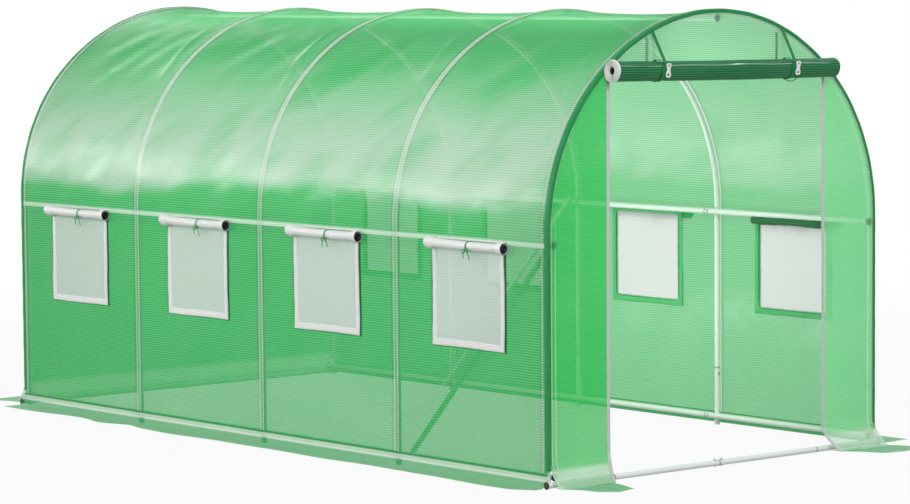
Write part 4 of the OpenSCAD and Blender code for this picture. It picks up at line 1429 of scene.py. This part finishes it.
class POLYTUNNEL_OT_zips(Step, bpy.types.Operator):
    """Sew the zips down both sides of the doorway"""

    bl_idname = "polytunnel.zips"
    bl_label = "Door zips"

    def execute(self, context):
        look = self.settings.door
        tape = cloth_paint("zip_tape", tuple(look.zip), weave=0.0014, glow=0.05)
        teeth = plastic_paint("zip_teeth", shade(look.zip, 0.72), 0.35)
        z = np.concatenate([np.linspace(ROLL_Z - ROLL_R * 0.2, 0.13, 60)[:-1], np.linspace(0.13, 0.007, 22)])
        # the tape's section: (outward from the doorway's edge, forward)
        rim = [(-0.0030, -0.0005), (0.0050, -0.0005), (0.0125, -0.0004)]
        rim += [(0.0125, 0.0006), (0.0050, 0.0009), (-0.0030, 0.0009)]
        for side in (-1, 1):
            middle = side * (DOOR_X + foot_lean(z))
            line = stack(middle, end_y(middle, z, -1) - 0.0016, z)
            shape = Shape()
            shape.grid(carry(line, np.array(rim) * (-side, 1), (0.0, -1.0, 0.0)), wrap=(False, True))
            row = line + np.array([-side * 0.0026, -0.0008, 0])
            stitches(shape, row, (0.0, -1.0, 0.0), 0.0048, (0.0026, 0.0058, 0.0028), 1)
            fold = line + np.array([side * 0.0085, -0.0010, 0])
            stitches(shape, fold, (0.0, -1.0, 0.0), 0.009, (0.0052, 0.0012, 0.0008), 1)
            name = "door_zip_" + hand_of(side)
            shape.build(name, [tape, teeth], "zip_tape", weld=True, replaces=("door_zips",))
        return {"FINISHED"}


def plane(name, points, paint, shader):
    """A plain sheet of quads over a grid of points, with a paint of its own."""
    mesh = bpy.data.meshes.new(name)
    rows, columns = points.shape[:2]
    index = np.arange(rows * columns).reshape(rows, columns)
    quads = np.stack([index[:-1, :-1], index[:-1, 1:], index[1:, 1:], index[1:, :-1]], -1).reshape(-1, 4)
    mesh.from_pydata(points.reshape(-1, 3).tolist(), [], quads.tolist())
    mesh.materials.append(paint.done(shader))
    made = bpy.data.objects.new(name, mesh)
    bpy.context.scene.collection.objects.link(made)
    return made


class POLYTUNNEL_OT_stage(Step, bpy.types.Operator):
    """Set the camera, the pale floor and the studio light"""

    bl_idname = "polytunnel.stage"
    bl_label = "Camera, floor and light"

    def execute(self, context):
        look = self.settings.stage
        scene = context.scene
        scene.view_settings.view_transform = "Standard"
        white = (1, 1, 1)
        scene.world = bpy.data.worlds.new("studio")
        sky = Paint("studio", scene.world)
        level = sky.node("MapRange", {"Value": sky.seen_rays(), "To Min": look.ambient, "To Max": 1.0})
        sky.node("OutputWorld", {"Surface": sky.node("Background", {"Color": white, "Strength": level})})

        # a wide floor that looks white to the camera, a little less near the tunnel, and keeps its shadow
        spread = np.linspace(-40, 40, 9)
        grid_x, grid_y = np.meshgrid(spread, spread)
        paint = Paint("floor")
        far = paint.node("VectorMath", {0: paint.place()}, output="Value", operation="LENGTH").between(4.0, 9.0)
        shine = paint.node("Emission", {"Color": white, "Strength": 1.0})
        matt = paint.node("BsdfDiffuse", {"Color": shade(white, 0.32)})
        shader = paint.mix(paint.seen_rays() * (far * 0.06 + 0.94), matt, shine)
        ground = plane("floor", np.stack([grid_x, grid_y, 0 * grid_x - 0.0008], -1), paint, shader)

        # a tall card behind the tunnel's left: bright low down, fading upwards, seen only in the film's shine
        low, wide, tall = np.array([(-13.0, 5.6, 2.70), (14.0, 8.9, -0.25), (0.6, 1.1, 6.0)])
        u, v = np.meshgrid(np.linspace(0, 1, 5), np.linspace(0, 1, 9))
        paint = Paint("card")
        fade = 1.0 - paint.part(paint.place(), 2).between(3.3, 5.2)
        shader = paint.node("Emission", {"Color": white, "Strength": fade * look.card})
        card = plane("card", low + u[..., None] * wide + v[..., None] * tall, paint, shader)
        card.visible_camera = card.visible_diffuse = card.visible_shadow = card.visible_transmission = False

        # name, where it stands, where it shines, power, width, height
        for name, place, target, power, wide, tall in (
            ("inside_lamp", (0, 0, 1.90), (0, 0.001, 0), look.inside, 0.5, 3.6),
            ("low_lamp", (-0.30, 0, 0.35), (0.7, 0, 1.5), look.inside * 1.5, 3.6, 0.3),
            ("ridge_lamp", (-0.28, 0, 1.70), (0, 0, 1.96), look.inside * 0.75, 3.6, 0.05),
            ("front_lamp", (-3.0, -9.0, 5.5), (0, -1, 0.8), look.key * 2.1, 4.0, 3.0),
            ("left_lamp", (-9.0, 1.0, 3.6), (0, 0, 1.0), look.key * 2.1, 5.0, 3.0),
            ("right_lamp", (9.0, 0.0, 4.5), (0, 0, 1.0), look.key * 1.7, 5.0, 3.0),
            ("rear_lamp", (2.0, 9.0, 5.0), (0, 1, 0.8), look.key * 1.2, 4.0, 3.0),
        ):
            data = bpy.data.lights.new(name, "AREA")
            data.shape, data.size, data.size_y, data.energy = "RECTANGLE", wide, tall, power
            lamp = bpy.data.objects.new(name, data)
            lamp.location = place
            lamp.rotation_euler = (Vector(target) - Vector(place)).to_track_quat("-Z", "Y").to_euler()
            scene.collection.objects.link(lamp)
            lamp.visible_camera = False

        data = bpy.data.cameras.new("camera")
        data.lens, data.sensor_width = look.lens, 36.0
        data.clip_start, data.clip_end = 0.5, 200.0
        camera = bpy.data.objects.new("camera", data)
        forward, right = Vector(CAMERA_FORWARD).normalized(), Vector(CAMERA_RIGHT).normalized()
        turn = Matrix((right, right.cross(forward), -forward)).transposed().to_4x4()
        camera.matrix_world = Matrix.Translation(CAMERA_AT) @ turn
        scene.collection.objects.link(camera)
        scene.camera = camera
        return {"FINISHED"}


STEPS = (
    POLYTUNNEL_OT_tubes,
    POLYTUNNEL_OT_fittings,
    POLYTUNNEL_OT_cover,
    POLYTUNNEL_OT_end_film,
    POLYTUNNEL_OT_bindings,
    POLYTUNNEL_OT_skirts,
    POLYTUNNEL_OT_windows,
    POLYTUNNEL_OT_flaps,
    POLYTUNNEL_OT_door,
    POLYTUNNEL_OT_straps,
    POLYTUNNEL_OT_zips,
    POLYTUNNEL_OT_stage,
)


class POLYTUNNEL_PT_panel(bpy.types.Panel):
    """Lists the steps and the settings"""

    bl_idname = "POLYTUNNEL_PT_panel"
    bl_label = "Polytunnel"
    bl_space_type = "VIEW_3D"
    bl_region_type = "UI"
    bl_category = "Polytunnel"

    def draw(self, context):
        for step in STEPS:
            self.layout.operator(step.bl_idname)
        for name, group in SETTINGS.items():
            box = self.layout.box()
            box.label(text=name.capitalize())
            for key in group.__annotations__:
                box.prop(getattr(context.scene.polytunnel, name), key)


CLASSES = (*SETTINGS.values(), TunnelSettings, *STEPS, POLYTUNNEL_PT_panel)


def register():
    for item in CLASSES:
        bpy.utils.register_class(item)
    bpy.types.Scene.polytunnel = PointerProperty(type=TunnelSettings)


def unregister():
    del bpy.types.Scene.polytunnel
    for item in reversed(CLASSES):
        bpy.utils.unregister_class(item)


def main():
    register()
    for step in STEPS:
        group, name = step.bl_idname.split(".")
        getattr(getattr(bpy.ops, group), name)()


if __name__ == "__main__":
    main()
